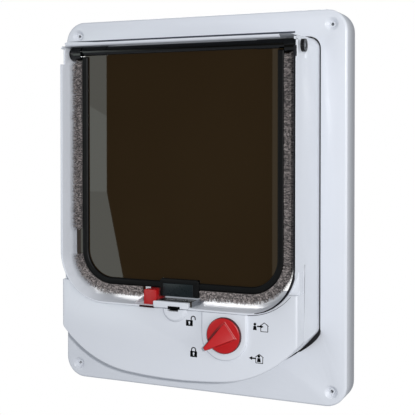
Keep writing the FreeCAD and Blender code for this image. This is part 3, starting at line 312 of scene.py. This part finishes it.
def softened(name, material, corner=0.0, body="frame", angle=30.0, behind=1.0, convex=False):
    """Smooth copy of a node, its corners rolled over by the given radius.

    A corner is an edge that turns by more than angle degrees. Those further back than behind stay sharp.
    Convex splits each face that has a hollow outline.
    """
    edit = bmesh.new()
    edit.from_mesh(nodes[name].data)
    bmesh.ops.remove_doubles(edit, verts=edit.verts, dist=WELD)
    bmesh.ops.dissolve_limit(edit, angle_limit=FLAT, verts=edit.verts, edges=edit.edges)
    if convex:
        bmesh.ops.connect_verts_concave(edit, faces=edit.faces)
    for face in edit.faces:
        face.smooth = True
    weight = edit.edges.layers.float.new("bevel_weight_edge")
    for edge in edit.edges:
        if edge.calc_face_angle(0.0) > math.radians(angle):
            rolled = corner > 0 and max(vert.co.y for vert in edge.verts) < behind
            edge[weight] = float(rolled)
            edge.smooth = rolled
    mesh = bpy.data.meshes.new(name + "_shown")
    edit.to_mesh(mesh)
    edit.free()
    shown = add_piece(name + "_shown", mesh, material, body)
    if corner > 0:
        bevel = shown.modifiers.new("corners", "BEVEL")
        bevel.width = corner
        bevel.segments = 3
        bevel.limit_method = "WEIGHT"
        bevel.use_clamp_overlap = False
        bevel.harden_normals = True
    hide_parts(name)


white = finish("white moulding", (222, 225, 231), (226, 229, 235), 0.24, grain=28.0)
softened("door_plate", white, 0.0004, behind=-0.0197, convex=True)
softened("flap_housing", white, 0.00025, behind=-0.03, convex=True)
softened("fascia_cover", white, 0.0003)
softened("catch_cover", white, 0.0004)


# Slit shade: a black strip in the slit between the housing and the door plate, a little below the plate's face,
# as painted shade for the shadow in the slit. It follows the housing's outline at the level of the plate and
# bulges out of the slit at the lower corners, as painted shade for the shadow under those corners.

SLIT_LEVEL = -0.0225


def outline_at(name, level):
    """Outer outline of the node's solid on the plane y = level, as ordered points."""
    edit = bmesh.new()
    edit.from_mesh(nodes[name].data)
    bmesh.ops.remove_doubles(edit, verts=edit.verts, dist=WELD)
    cut = bmesh.ops.bisect_plane(edit, geom=edit.verts[:] + edit.edges[:] + edit.faces[:],
                                 plane_co=(0, level, 0), plane_no=(0, 1, 0), clear_inner=True,
                                 clear_outer=True)["geom_cut"]
    edges = set(item for item in cut if isinstance(item, bmesh.types.BMEdge))
    start = min((vert for edge in edges for vert in edge.verts), key=lambda vert: vert.co.x)
    loop, here, before = [], start, None
    while here is not None and (here is not start or not loop):
        loop.append(here.co.copy())
        onward = [edge for edge in here.link_edges if edge in edges and edge is not before]
        before = onward[0] if onward else None
        here = before.other_vert(here) if before else None
    edit.free()
    return loop


def swept(name, rows, closed=False, smooth=False):
    """Mesh through rows of points: face k joins points k and k + 1 of a row to the same two of the next row.

    A closed mesh runs on from the last row to the first. An open one has its end rows as caps.
    """
    edit = bmesh.new()
    rings = [[edit.verts.new(point) for point in row] for row in rows]
    count = len(rings[0])
    onward = rings[1:] + rings[:1] if closed else rings[1:]
    for ring, after in zip(rings, onward):
        for k in range(count):
            edit.faces.new((ring[k], ring[(k + 1) % count], after[(k + 1) % count], after[k]))
    if not closed:
        edit.faces.new(rings[0])
        edit.faces.new(rings[-1])
    bmesh.ops.recalc_face_normals(edit, faces=edit.faces)
    for face in edit.faces:
        face.smooth = smooth
    mesh = bpy.data.meshes.new(name)
    edit.to_mesh(mesh)
    edit.free()
    return mesh


def corner_shade_bulge(point):
    """Share by which the strip bulges at a lower corner, as painted shade for the shadow there:
    d * exp(-((|x| - 94 mm) / 10 mm)^2).

    d rises from 0 at z = -88 mm to 1 at z = -92 mm and below.
    """
    depth = min(1.0, max(0.0, (-0.088 - point.z) / 0.004))
    return depth * math.exp(-((abs(point.x) - 0.094) / 0.010) ** 2)


def slit_shade_strip(inner, outer, front, rear):
    """Strip that lies from inner to outer metres outside the housing's outline: p + n * distance.

    n is square to the outline and points outward. With a full bulge the strip reaches 1.8 mm further out, and
    its front comes 6.2 mm and its rear 3.7 mm further forward.
    """
    loop = outline_at("flap_housing", SLIT_LEVEL)
    rows = []
    for index, point in enumerate(loop):
        along = (loop[(index + 1) % len(loop)] - loop[index - 1]).normalized()
        outward = Vector((along.z, 0.0, -along.x))
        if outward.dot(point) < 0:
            outward.negate()
        bulge = corner_shade_bulge(point)
        wide, near, far = outer + 0.0018 * bulge, front - 0.0062 * bulge, rear - 0.0037 * bulge
        rows.append([(point.x + outward.x * distance, y, point.z + outward.z * distance)
                     for distance, y in ((inner, near), (wide, near), (wide, far), (inner, far))])
    return swept("slit_shade_strip", rows, closed=True)


slit_shade_black = finish("black slit shade", (18, 18, 20), (30, 30, 33), 0.95, grain=2500.0, bumps=0.4)
# The black strip is painted shade: it darkens the slit, and its bulges darken the shadow under the lower
# corners.
add_piece("slit_shade_strip", slit_shade_strip(0.00012, 0.00108, -0.0205, -0.0185), slit_shade_black)


# Brow and rim shade: along the top of the hood's front edge runs a dark strip, painted shade for the shadow
# along that edge, and under it a bright round moulding that sheds the rain. The shade strip is soft and dark,
# and the moulding is a glued strip of glossy white.

PLATE_FOOT = -0.145
RIM_FRONT = -0.0684
RIM_TOP = 0.2695 + PLATE_FOOT - 0.0001
SHADE_FOOT = RIM_TOP - 0.0011


def strip(name, profile, xs, material, shrink=lambda x: 1.0):
    """Strip that runs along x with the closed profile (y, z).

    Its height can shrink towards the profile's top: z = top - (top - z) * shrink(x).
    """
    top = max(z for y, z in profile)
    rows = [[(x, y, top - (top - z) * shrink(x)) for y, z in profile] for x in xs]
    mesh = swept(name, rows, smooth=True)
    mesh.set_sharp_from_angle(angle=math.radians(40))
    add_piece(name, mesh, material)


# The rim strip is painted shade: a dark band where the top of the hood's front edge lies in shadow.
shade_front = RIM_FRONT - 0.0004
strip("rim_shade_strip", [(RIM_FRONT, RIM_TOP), (shade_front, RIM_TOP), (shade_front, SHADE_FOOT),
                   (RIM_FRONT, SHADE_FOOT)], np.linspace(-0.0860, 0.0936, 60),
      finish("rim shade black", (48, 52, 64), (60, 64, 76), 0.5),
      shrink=lambda x: min(1.0, (x + 0.0865) / 0.025))
brow_turns = [math.radians(90.0 * k / 8) for k in range(9)]
brow_curve = [(-0.0662 - 0.0025 * math.cos(turn), RIM_TOP - 0.0013 - 0.0022 * math.sin(turn))
              for turn in brow_turns]
strip("brow", [(RIM_FRONT, SHADE_FOOT)] + brow_curve + [(-0.0655, RIM_TOP - 0.0034)],
      np.linspace(-0.0900, 0.0820, 40), white)


# Small parts of the front: a step inside each screw hole, the sensor's lens in its slot, painted shade in the
# slit of the lock slider, a dark strip of painted shade along the inner edge of the hood's rim on the right,
# where the gap beside the flap lies in shadow, and the fillets between the hood and the box.
# The steps and fillets are white moulding and the lens snaps in. A fine joint follows the dark strip.

HOLE_X = 0.1065
HOLE_Z = 0.134


def ring_at(x, y, z, inner, outer, thick, steps=28):
    """Flat washer that faces forward: row a is its section at (x + r cos a, z + r sin a)."""
    section = ((inner, y), (outer, y), (outer, y + thick), (inner, y + thick))
    turns = [2 * math.pi * k / steps for k in range(steps)]
    return swept("ring", [[(x + r * math.cos(turn), depth, z + r * math.sin(turn)) for r, depth in section]
                          for turn in turns], closed=True)


def block_mesh(low, high, corner=0.0):
    """Box between the two corners, its edges rounded by the given radius."""
    edit = bmesh.new()
    bmesh.ops.create_cube(edit, size=1.0)
    for vert in edit.verts:
        vert.co = Vector([(low[k] + high[k]) / 2 + vert.co[k] * (high[k] - low[k]) for k in range(3)])
    if corner > 0:
        bmesh.ops.bevel(edit, geom=edit.edges[:], offset=corner, segments=2, profile=0.5, affect="EDGES")
    mesh = bpy.data.meshes.new("block")
    edit.to_mesh(mesh)
    edit.free()
    return mesh


def ribbon(name, path, front, rear, material):
    """Strip along a path of (x, z, nx, nz, width): from each point it is width wide towards n."""
    rows = [[(x + reach * nx, y, z + reach * nz)
             for reach, y in ((0.0, front), (width, front), (width, rear), (0.0, rear))]
            for x, z, nx, nz, width in path]
    add_piece(name, swept(name, rows), material)


def arc_path(x, z, r, start, end, width):
    """Points of an arc between two angles below the x axis, with a width for each angle in radians."""
    path = []
    for turn in np.radians(np.linspace(start, end, 60)):
        nx, nz = math.cos(turn), -math.sin(turn)
        path.append((x + r * nx, z + r * nz, nx, nz, width(turn)))
    return path


def shoulder(side):
    """Fillet between the hood's round corner and the box's side wall, as a prism from front to rear.

    Its inner edge is the arc x = 56.3 + sqrt(38^2 - (110 - h)^2), in millimetres, for heights h of 87 to 104
    over the plate's foot. The outer edge is 0.25 mm further in at the front.
    """
    arc = [(56.3 + math.sqrt(38.0 ** 2 - (110.0 - h) ** 2), h) for h in np.linspace(87.0, 104.0, 14)]
    rows = []
    for y, inset in ((-0.0610, 0.25), (-0.0400, 0.0)):
        edge = [(94.6 - inset, 103.0), (94.75 - inset, 100.0), (94.8 - inset, 87.0)]
        rows.append([(side * x / 1000, y, h / 1000 + PLATE_FOOT) for x, h in arc + edge])
    return swept("shoulder", rows)


for index, (across, up) in enumerate(((-1, 1), (1, 1), (-1, -1), (1, -1))):
    add_piece("screw_step_%d" % (index + 1),
              ring_at(across * HOLE_X, -0.0196, up * HOLE_Z, 0.0012, 0.00228, 0.0010), white)
add_piece("sensor_lens", block_mesh((-0.0030, -0.0687, -0.0731), (0.0064, -0.0640, -0.0711), 0.0001),
          finish("sensor lens", (4, 5, 8), (7, 8, 11), 0.4, grain=80.0, sheen=0.08))
# The slider's slit is painted shade: a dark red block where the slot lies in shadow.
add_piece("slider_slit", block_mesh((-0.0262, -0.0688, -0.0731), (-0.0149, -0.0670, -0.0718)),
          finish("slider slit", (26, 6, 8), (60, 12, 14), 0.8, grain=300.0, sheen=0.2))

# Down the right side the painted shade strip is 1.35 mm wide. Round the corner it narrows: w = 1.1 mm * cos a +
# 0.25 mm.
bend_x, bend_z, bend_r = 0.0581, -0.0372, 0.0345
shade_path = [(bend_x + bend_r, z, 1.0, 0.0, 0.00135) for z in np.linspace(0.1150, bend_z, 10)]
shade_path += arc_path(bend_x, bend_z, bend_r, 0.0, 80.0, lambda turn: 0.0011 * math.cos(turn) + 0.00025)
ribbon("edge_trim", shade_path, -0.0686, -0.0660,
       finish("edge trim", (22, 22, 27), (30, 30, 36), 0.6, grain=700.0, sheen=0.2))
ribbon("fascia_joint", arc_path(0.0575, -0.0313, 0.0420, 40.0, 92.0, lambda turn: 0.0004 * math.sin(turn)),
       -0.06608, -0.0659, finish("joint shadow", (58, 60, 68), (70, 72, 80), 0.8, grain=700.0, sheen=0.1))
for side, word in ((-1, "left"), (1, "right")):
    add_piece("shoulder_" + word, shoulder(side), white)


# Pile: brush strips of grey fibre round the flap, two straight ones at the sides and two round the corners.
# Each is a woven tape glued to the sheet beside the black band. Its fibres point outward, past the edge of the
# sheet, and fan a little in depth.

BAND_HALF = 0.0820
BAND_HEIGHT = 0.0848
BAND_LOW = BAND_HEIGHT + PLATE_FOOT
CORNER_R = 0.026
LEVEL_RUN = BAND_HALF - CORNER_R
QUARTER = CORNER_R * math.pi / 2
SHEET_FACE = -0.0550
FIBRES_PER_MM = 16


def pile_path(side, t):
    """Points on the tape's inner edge, and the way the fibres point there, at the distances t.

    Side is 1 for right and -1 for left. t is the distance travelled from the corner's upper end, less than 0
    above it. A point lies on the upright x = side * half, then at c + r * (side * cos a, -sin a) with
    a = t / r round the corner's centre c = (side * (half - r), low + r), then on the level run z = low.
    """
    turn = np.clip(t / CORNER_R, 0.0, math.pi / 2)
    x = LEVEL_RUN + CORNER_R * np.cos(turn) - np.maximum(t - QUARTER, 0.0)
    z = BAND_LOW + CORNER_R - CORNER_R * np.sin(turn) - np.minimum(t, 0.0)
    return side * x, z, side * np.cos(turn), -np.sin(turn)


def pile_fibres(name, side, start, end):
    """Fibres of one strip as bent three-sided spikes: each has a root ring, a middle ring and a tip ring.

    A ring's corners are centre + r * (u cos k + v sin k) for k = 0, 120 and 240 degrees, where u and v are
    square to the fibre. The fibres lean along the strip and rise by normal shares of their length, and they
    are 8.4 mm long on the upright, 8.0 mm on the level run, less up to 16 percent.
    """
    rng = np.random.default_rng(11 + int(1e5 * abs(start + end)) + side)
    count = int((end - start) * 1000 * FIBRES_PER_MM)
    x, z, nx, nz = pile_path(side, rng.uniform(start, end, count))
    length = (0.0084 - 0.0004 * nz ** 2) * rng.uniform(0.84, 1.0, count)
    tangent_x, tangent_z = -nz, nx
    lean = rng.normal(0.0, 0.20, count) + 0.10
    rise = rng.normal(0.0, 0.07, count)
    depth = rng.uniform(0.0004, 0.0036, count)
    sideways = rng.normal(0.0, 0.0003, (count, 1))
    way = np.stack([nx + lean * tangent_x, rise, nz + lean * tangent_z], 1)
    way /= np.linalg.norm(way, axis=1, keepdims=True)
    root = np.stack([x + 0.0002 * nx, SHEET_FACE - depth, z + 0.0002 * nz], 1)
    bend = np.stack([tangent_x, np.zeros(count), tangent_z], 1) * sideways
    u = np.cross(way, np.array([0.0, 1.0, 0.0]))
    u /= np.linalg.norm(u, axis=1, keepdims=True)
    v = np.cross(way, u)
    thick, thin = 0.00012, 0.00004
    rings = []
    for reach, radius, sag in ((0.0, thick, 0.0), (0.55, thick, 1.0), (1.0, thin, 0.0)):
        centre = root + way * (length * reach)[:, None] + bend * sag
        centre[:, 1] = np.clip(centre[:, 1], SHEET_FACE - 0.0038, SHEET_FACE - 0.0001)
        for k in range(3):
            angle = 2 * math.pi * k / 3
            rings.append(centre + radius * (math.cos(angle) * u + math.sin(angle) * v))
    points = np.stack(rings, 1).reshape(-1, 3)
    faces = np.array([(low + k, low + (k + 1) % 3, low + 3 + (k + 1) % 3, low + 3 + k)
                      for low in (0, 3) for k in range(3)])
    quads = (faces[None, :, :] + 9 * np.arange(count)[:, None, None]).reshape(-1, 4)
    mesh = bpy.data.meshes.new(name)
    mesh.from_pydata(points.tolist(), [], quads.tolist())
    mesh.update()
    return mesh


def pile_tape(name, side, start, end):
    """Woven tape at the fibres' roots: a flat strip that follows the path, 1.2 mm thick and 4.5 mm wide."""
    inner, outer, thick = 0.0001, 0.0046, 0.0012
    section = ((inner, 0.0), (outer, 0.0), (outer, thick), (inner, thick))
    return swept(name, [[(x + reach * nx, SHEET_FACE - depth, z + reach * nz) for reach, depth in section]
                        for x, z, nx, nz in zip(*pile_path(side, np.linspace(start, end, 40)))])


def pile_material():
    """Wool-like grey, lighter and darker in random patches."""
    material, shader = new_material("pile fibre")
    tufts = noise(900.0, 3.0, (0.6, 1.0, 1.0))
    tufts.step(0.40, 0.66).mix(shade(72, 68, 68), shade(186, 176, 172)).into(shader.inputs["Base Color"])
    (tufts * 0.1 + 0.85).into(shader.inputs["Roughness"])
    return material


fibre = pile_material()
woven = finish("pile tape", (70, 68, 68), (98, 95, 94), 0.9, grain=1500.0, bumps=0.5)
top = 0.2553 - BAND_HEIGHT - CORNER_R
gap_top = 0.127 - BAND_HEIGHT - CORNER_R
catch_left, catch_right = 0.0300, 0.0176
for name, side, start, end in (("pile_strip_left", -1, -top, -gap_top),
                               ("pile_strip_right", 1, -top, 0.0035),
                               ("pile_strip_lower_left", -1, 0.0040, QUARTER + LEVEL_RUN - catch_left),
                               ("pile_strip_lower_right", 1, 0.0043, QUARTER + LEVEL_RUN - catch_right)):
    for part, shape, material in (("_fibres", pile_fibres, fibre), ("_tape", pile_tape, woven)):
        piece = add_piece(name + part, shape(name + part, side, start, end), material, "flap")
        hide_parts(name)


# Flap sheet: clear acrylic tinted dark brown, flat and polished, with its corners eased by sanding.
# It mirrors the room, so its gloss is kept even and only a faint haze drifts over it.

def sheet_material():
    """Dark brown gloss with a haze."""
    material, shader = new_material("tinted sheet")
    haze = noise(9.0)
    haze.mix(shade(45, 35, 23), shade(51, 41, 28)).into(shader.inputs["Base Color"])
    (haze * 0.012 + 0.008).into(shader.inputs["Roughness"])
    return material


softened("flap_panel", sheet_material(), body="flap")


# Black mouldings: the band round the sheet on each face, the hinge bar and the magnet's holder.
# Satin black plastic with eased corners. The bar is glossier, as it is a round extrusion. The magnet block
# between them is ground and coated dark grey.

satin = finish("satin black", (4, 5, 6), (8, 9, 10), 0.48, grain=220.0, bumps=0.12, sheen=0.22)
gloss = finish("gloss black", (6, 7, 8), (10, 11, 12), 0.16, grain=60.0)
magnet = finish("magnet block", (24, 31, 34), (30, 38, 41), 0.28, grain=200.0, sheen=0.35)
for name, material, slot, corner in (("flap_bead_front", satin, "black_plastic", 0.0004),
                                     ("flap_bead_rear", satin, "black_plastic", 0.0004),
                                     ("hinge_bar", gloss, "black_plastic", 0.0),
                                     ("magnet_holder", satin, "black_plastic", 0.0003),
                                     ("flap_magnet", magnet, "magnet", 0.0003)):
    softened(name, material, corner, "flap")


# Red lock parts: the turn knob on the fascia and the two sliders with their hooks.
# Red plastic, moulded in one piece each. Painted shade darkens the knob's rim, where the base's side wall lies
# in shadow, and the crease beside its pointer, where the pointer's flank shades it; these shaded parts are
# rougher.

POINTS_AT = math.radians(217.0)


def shaded_knob(x, z, radius, base_front):
    """Red plastic with painted shade on the rim of the base and in the crease along the pointer's upper side.

    Rim: r^2 = (px - x)^2 + (pz - z)^2 from 0.6 mm inside the radius outwards, behind the base's front.
    Crease: the pointer's side runs from tip = 15.8 u + 2.1 n to tail = 8.5 n - 8.5 u, in millimetres, where u
    points along it and n to its upper side. With d from tip to tail and m square to d, a point p lies
    across = (p - tip) . m beside that line and along = (p - tip) . d down it, and the painted shade fades along
    it.
    """
    material, shader = new_material("red knob")
    px, py, pz = place()
    dx, dz = px - x, pz - z
    rim = Wire.maths("SQRT", dx * dx + dz * dz).step(radius - 0.0006, radius - 0.0001)
    rim = rim * py.step(base_front - 0.0004, base_front)
    u = Vector((math.cos(POINTS_AT), math.sin(POINTS_AT)))
    n = Vector((u.y, -u.x))
    tip, tail = u * 0.0158 + n * 0.0021, n * 0.0085 - u * 0.0085
    d = (tail - tip).normalized()
    m = Vector((-d.y, d.x))
    across = dx * m.x + dz * m.y - tip.dot(m)
    along = dx * d.x + dz * d.y - tip.dot(d)
    crease = across.step(-0.0017, -0.0011) * (Wire(1.0) - across.step(0.0006, 0.0012))
    crease = crease * (Wire(1.0) - along.step(0.012, 0.024))
    # The rim and the crease are painted shade, darker where the side wall and the pointer's flank lie in
    # shadow.
    painted_shade = Wire.maths("MAXIMUM", rim, crease * 0.75)
    drift = noise(45.0, 3.0)
    unshaded_red = drift.mix(shade(178, 20, 24), shade(194, 28, 31))
    painted_shade.mix(unshaded_red, shade(66, 8, 12)).into(shader.inputs["Base Color"])
    (drift * 0.12 + painted_shade * 0.2 + 0.24).into(shader.inputs["Roughness"])
    return material


red = finish("red moulding", (172, 18, 22), (186, 26, 28), 0.34, grain=45.0)
softened("control_knob", shaded_knob(0.0419, -0.0883, 0.0129, -0.0724), 0.0006, "knob", 25.0)
softened("front_lock_slider", red, 0.0003, "front_slider")
softened("rear_lock_slider", red, 0.0003, "rear_slider")


# Pictograms beside the knob: open padlock, closed padlock, person going into a house and person going out.
# Ink, pad printed on the fascia, so each is a flat film that stands a few hundredths off the plastic. The
# shapes are given in millimetres from the pictogram's centre, and the keyholes are white ink on the black.

INK_Y = -0.066 - 0.00006
LAYER = 0.000002


def disc(x, z, r, steps=20):
    """Corners of a round dot."""
    return [(x + r * math.cos(2 * math.pi * k / steps), z + r * math.sin(2 * math.pi * k / steps))
            for k in range(steps)]


def bar_of(start, end, width):
    """Four corners of a straight stroke."""
    ax, az = start
    bx, bz = end
    length = math.hypot(bx - ax, bz - az)
    px, pz = -(bz - az) / length * width / 2, (bx - ax) / length * width / 2
    return [(ax + px, az + pz), (bx + px, bz + pz), (bx - px, bz - pz), (ax - px, az - pz)]


def strokes(points, width):
    """Straight strokes from each point to the next."""
    return [bar_of(first, second, width) for first, second in zip(points, points[1:])]


def padlock(opened):
    """Case and shackle: the shackle is a half circle and two legs, and an opened one stands to the right."""
    middle, height, right_foot = (3.1, 2.1, 1.0) if opened else (0.0, 1.7, 0.6)
    r, width = 1.6, 0.8
    turns = [math.radians(180 - 180 * k / 14) for k in range(15)]
    shapes = [[(-2.7, -3.6), (2.7, -3.6), (2.7, 0.7), (-2.7, 0.7)]]
    shapes += strokes([(middle + r * math.cos(turn), height + r * math.sin(turn)) for turn in turns], width)
    for x, foot in ((middle - r, 0.6), (middle + r, right_foot)):
        shapes.append(bar_of((x, foot), (x, height + 0.1), width))
    return shapes


def arrow(tail, tip):
    """Level arrow: its shaft and its head."""
    bx, bz = tip
    sense = 1 if bx > tail[0] else -1
    head = [(bx, bz), (bx - sense * 2.4, bz + 1.4), (bx - sense * 2.4, bz - 1.4)]
    return [bar_of(tail, (bx - sense * 1.6, bz), 1.0), head]


def person(x, z):
    """Round head over a coat."""
    return [disc(x, z + 1.7, 1.0),
            [(x - 1.0, z + 0.5), (x + 1.0, z + 0.5), (x + 1.4, z - 2.4), (x - 1.4, z - 2.4)]]


def house(x, z):
    """Roof and walls in thin strokes, open on the left above and on the right below the eaves."""
    roof = [(x - 3.0, z + 0.9), (x - 2.6, z + 1.1), (x, z + 3.2), (x + 3.2, z + 0.9)]
    walls = [(x - 2.6, z + 0.4), (x - 2.6, z - 3.1), (x + 2.6, z - 3.1), (x + 2.6, z + 1.0)]
    return strokes(roof, 0.5) + strokes(walls, 0.5)


def ink(name, x, height, shapes, colour, over=0.0):
    """Flat film of the shapes that faces forward, its centre this high over the plate's foot."""
    points, faces = [], []
    for layer, shape in enumerate(shapes):
        area = sum(a[0] * b[1] - b[0] * a[1] for a, b in zip(shape, shape[1:] + shape[:1]))
        shape = shape if area > 0 else shape[::-1]
        faces.append(tuple(range(len(points), len(points) + len(shape))))
        points += [((x + px) / 1000, INK_Y - over - LAYER * layer, (height + pz) / 1000 + PLATE_FOOT)
                   for px, pz in shape]
    mesh = bpy.data.meshes.new(name)
    mesh.from_pydata(points, [], faces)
    add_piece(name, mesh, colour)


black_ink = finish("black ink", (3, 3, 6), (6, 6, 10), 0.8, grain=900.0, sheen=0.1)
white_ink = finish("white ink", (214, 216, 222), (222, 225, 231), 0.7, grain=900.0)
keyhole = [disc(0.0, -0.9, 0.75), [(-0.4, -2.6), (0.4, -2.6), (0.4, -0.9), (-0.4, -0.9)]]
going_in = person(-4.6, 0.0) + arrow((-3.0, 0.3), (1.9, 0.3)) + house(2.4, 0.0)
going_out = arrow((-0.6, 0.0), (-5.8, 0.0)) + person(1.6, 0.0) + house(1.9, 0.0)
ink("open_padlock", 13.1, 63.9, padlock(True), black_ink)
ink("closed_padlock", 16.5, 41.6, padlock(False), black_ink)
ink("open_keyhole", 13.1, 63.9, keyhole, white_ink, 0.00003)
ink("closed_keyhole", 16.5, 41.6, keyhole, white_ink, 0.00003)
ink("going_in", 68.2, 64.1, going_in, black_ink)
ink("going_out", 65.0, 41.7, going_out, black_ink)


# Inner parts: electromagnet, battery, circuit, rod antenna, cam, bushes and screws.
# Each finish follows how the part is made: wound wire in turns, printed board, wrapped cells, plated steel.
# The electromagnet's spring is a coil of round wire with its end turns pressed flat.

BOARD_THICK = 0.0016
WIRE_R = 0.00035
PRESSED = 0.0051


def wave(along, pitch):
    """Even ridges: 0.5 + 0.5 * sin(2 pi * along / pitch)."""
    return Wire.maths("SINE", along * (2 * math.pi / pitch)) * 0.5 + 0.5


def wound_wire(axis, pitch):
    """Enamelled copper laid turn by turn along the axis.

    Painted shade darkens it between the turns and a painted highlight brightens their crowns.
    """
    material, shader = new_material("enamelled copper")
    turns = wave(place()[axis], pitch)
    # Painted shade between the turns and painted highlight on their crowns, with a little random tone mixed in.
    shade_and_tone = turns * 0.8 + noise(700.0) * 0.2
    shade_and_tone.mix(shade(74, 28, 12), shade(206, 116, 66)).into(shader.inputs["Base Color"])
    (turns * -0.15 + 0.45).into(shader.inputs["Roughness"])
    shader.inputs["Metallic"].default_value = 0.9
    relief(shader, turns, 0.7, pitch / 2)
    return material


def printed_board(front):
    """Green lacquer over copper tracks. What stands out in front of the board is a black or tan component."""
    material, shader = new_material("circuit board")
    x, y, z = place()
    tracks = wave(x + noise(160.0, 1.0) * 0.006, 0.0026).step(0.72, 0.80) * wave(z, 0.0090).step(0.15, 0.30)
    lacquer = tracks.mix(shade(14, 66, 38), shade(46, 124, 70))
    bodies = noise(110.0, 0.0).step(0.48, 0.52).mix(shade(20, 20, 22), shade(160, 120, 60))
    component = Wire.maths("LESS_THAN", y, front - 0.0002)
    component.mix(lacquer, bodies).into(shader.inputs["Base Color"])
    (component * 0.25 + 0.3).into(shader.inputs["Roughness"])
    relief(shader, tracks, 0.3, 0.00005)
    return material


def wrapped_cell(start, end):
    """Plastic wrap printed with a copper-coloured band at the positive end and bare steel at both ends."""
    material, shader = new_material("cell wrap")
    bare_length, band_start = 0.0011, 0.0345
    x = place()[0]
    band = x.step(start + band_start, start + band_start + 0.0002)
    wrap = band.mix(shade(26, 28, 32), shade(186, 118, 62))
    bare = Wire.maths("LESS_THAN", x, start + bare_length) + Wire.maths("GREATER_THAN", x, end - bare_length)
    bare.mix(wrap, shade(190, 192, 195)).into(shader.inputs["Base Color"])
    (bare * -0.05 + noise(60.0) * 0.06 + 0.24).into(shader.inputs["Roughness"])
    bare.into(shader.inputs["Metallic"])
    return material


def coil_spring(x, y, low, high, radius, turns):
    """Round wire in a helix about an upright axis, its end turns pressed flat.

    Ring k lies at p(t) = (x + R cos w, y + R sin w, z), with w = 2 pi n t and z rising by a smooth step so that
    the first and last turns lie close. Its ten corners are p + r (u cos a + v sin a), with u outward and v up.
    """
    steps, around = 40 * turns, 10
    t = np.linspace(0.0, 1.0, steps + 1)
    rise = 0.5 - 0.5 * np.cos(np.pi * np.clip((t - 0.06) / 0.88, 0.0, 1.0))
    rise = 0.35 * rise + 0.65 * np.clip((t - 0.10) / 0.80, 0.0, 1.0)
    z = low + WIRE_R + (high - low - 2 * WIRE_R) * rise
    w = 2 * np.pi * turns * t
    a = 2 * np.pi * np.arange(around) / around
    reach = radius + WIRE_R * np.cos(a)
    rings = np.stack([x + np.outer(np.cos(w), reach), y + np.outer(np.sin(w), reach),
                      z[:, None] + WIRE_R * np.sin(a)], 2)
    return swept("plunger_spring", rings.tolist(), smooth=True)


def reach_of(name, axis):
    """Lowest and highest value of a node's mesh on an axis."""
    values = [(nodes[name].matrix_world @ vert.co)[axis] for vert in nodes[name].data.vertices]
    return min(values), max(values)


(left, right), (near, far), (low, high) = [reach_of("plunger_spring", axis) for axis in range(3)]
middle_x, middle_y = (left + right) / 2, (near + far) / 2
spring_steel = finish("spring steel", (140, 142, 146), (165, 167, 170), 0.3, 1.0, grain=500.0)
coil = coil_spring(middle_x, middle_y, low, high, (right - left) / 2 - WIRE_R - 0.00001, 5)
spring = add_piece("plunger_spring_shown", coil, spring_steel)
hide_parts("plunger_spring")
1.0 - PRESSED / (high - low)
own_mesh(spring)

board_front = reach_of("circuit_board", 1)[1] - BOARD_THICK
finishes = {
    "white_plastic": white,
    "tinted_sheet": finish("tinted sheet", (40, 31, 19), (46, 36, 23), 0.06, grain=12.0),
    "black_plastic": satin,
    "red_plastic": red,
    "grey_pile": woven,
    "magnet": magnet,
    "polished_steel": finish("polished steel", (196, 198, 200), (210, 212, 214), 0.1, 1.0, grain=300.0),
    "zinc_steel": finish("zinc plated steel", (160, 163, 166), (190, 192, 194), 0.32, 1.0, grain=500.0),
    "spring_steel": spring_steel,
    "bush_plastic": finish("bush", (5, 5, 7), (9, 9, 11), 0.25, grain=300.0, sheen=0.3),
    "acetal": finish("acetal", (226, 224, 216), (234, 232, 226), 0.35, grain=80.0),
    "copper_wire": wound_wire(axis=2, pitch=0.0005),
    "ferrite": finish("ferrite", (50, 48, 50), (66, 64, 66), 0.7, grain=900.0, bumps=0.3),
    "circuit": printed_board(board_front),
    "cell_wrap": wrapped_cell(*reach_of("battery_cell_1", 0)),
}
for node in nodes.values():
    for bare_slot in node.material_slots:
        bare_slot.material = finishes[bare_slot.material.name.split(".")[0]]
nodes["pickup_winding"].material_slots[0].material = wound_wire(axis=0, pitch=0.0004)
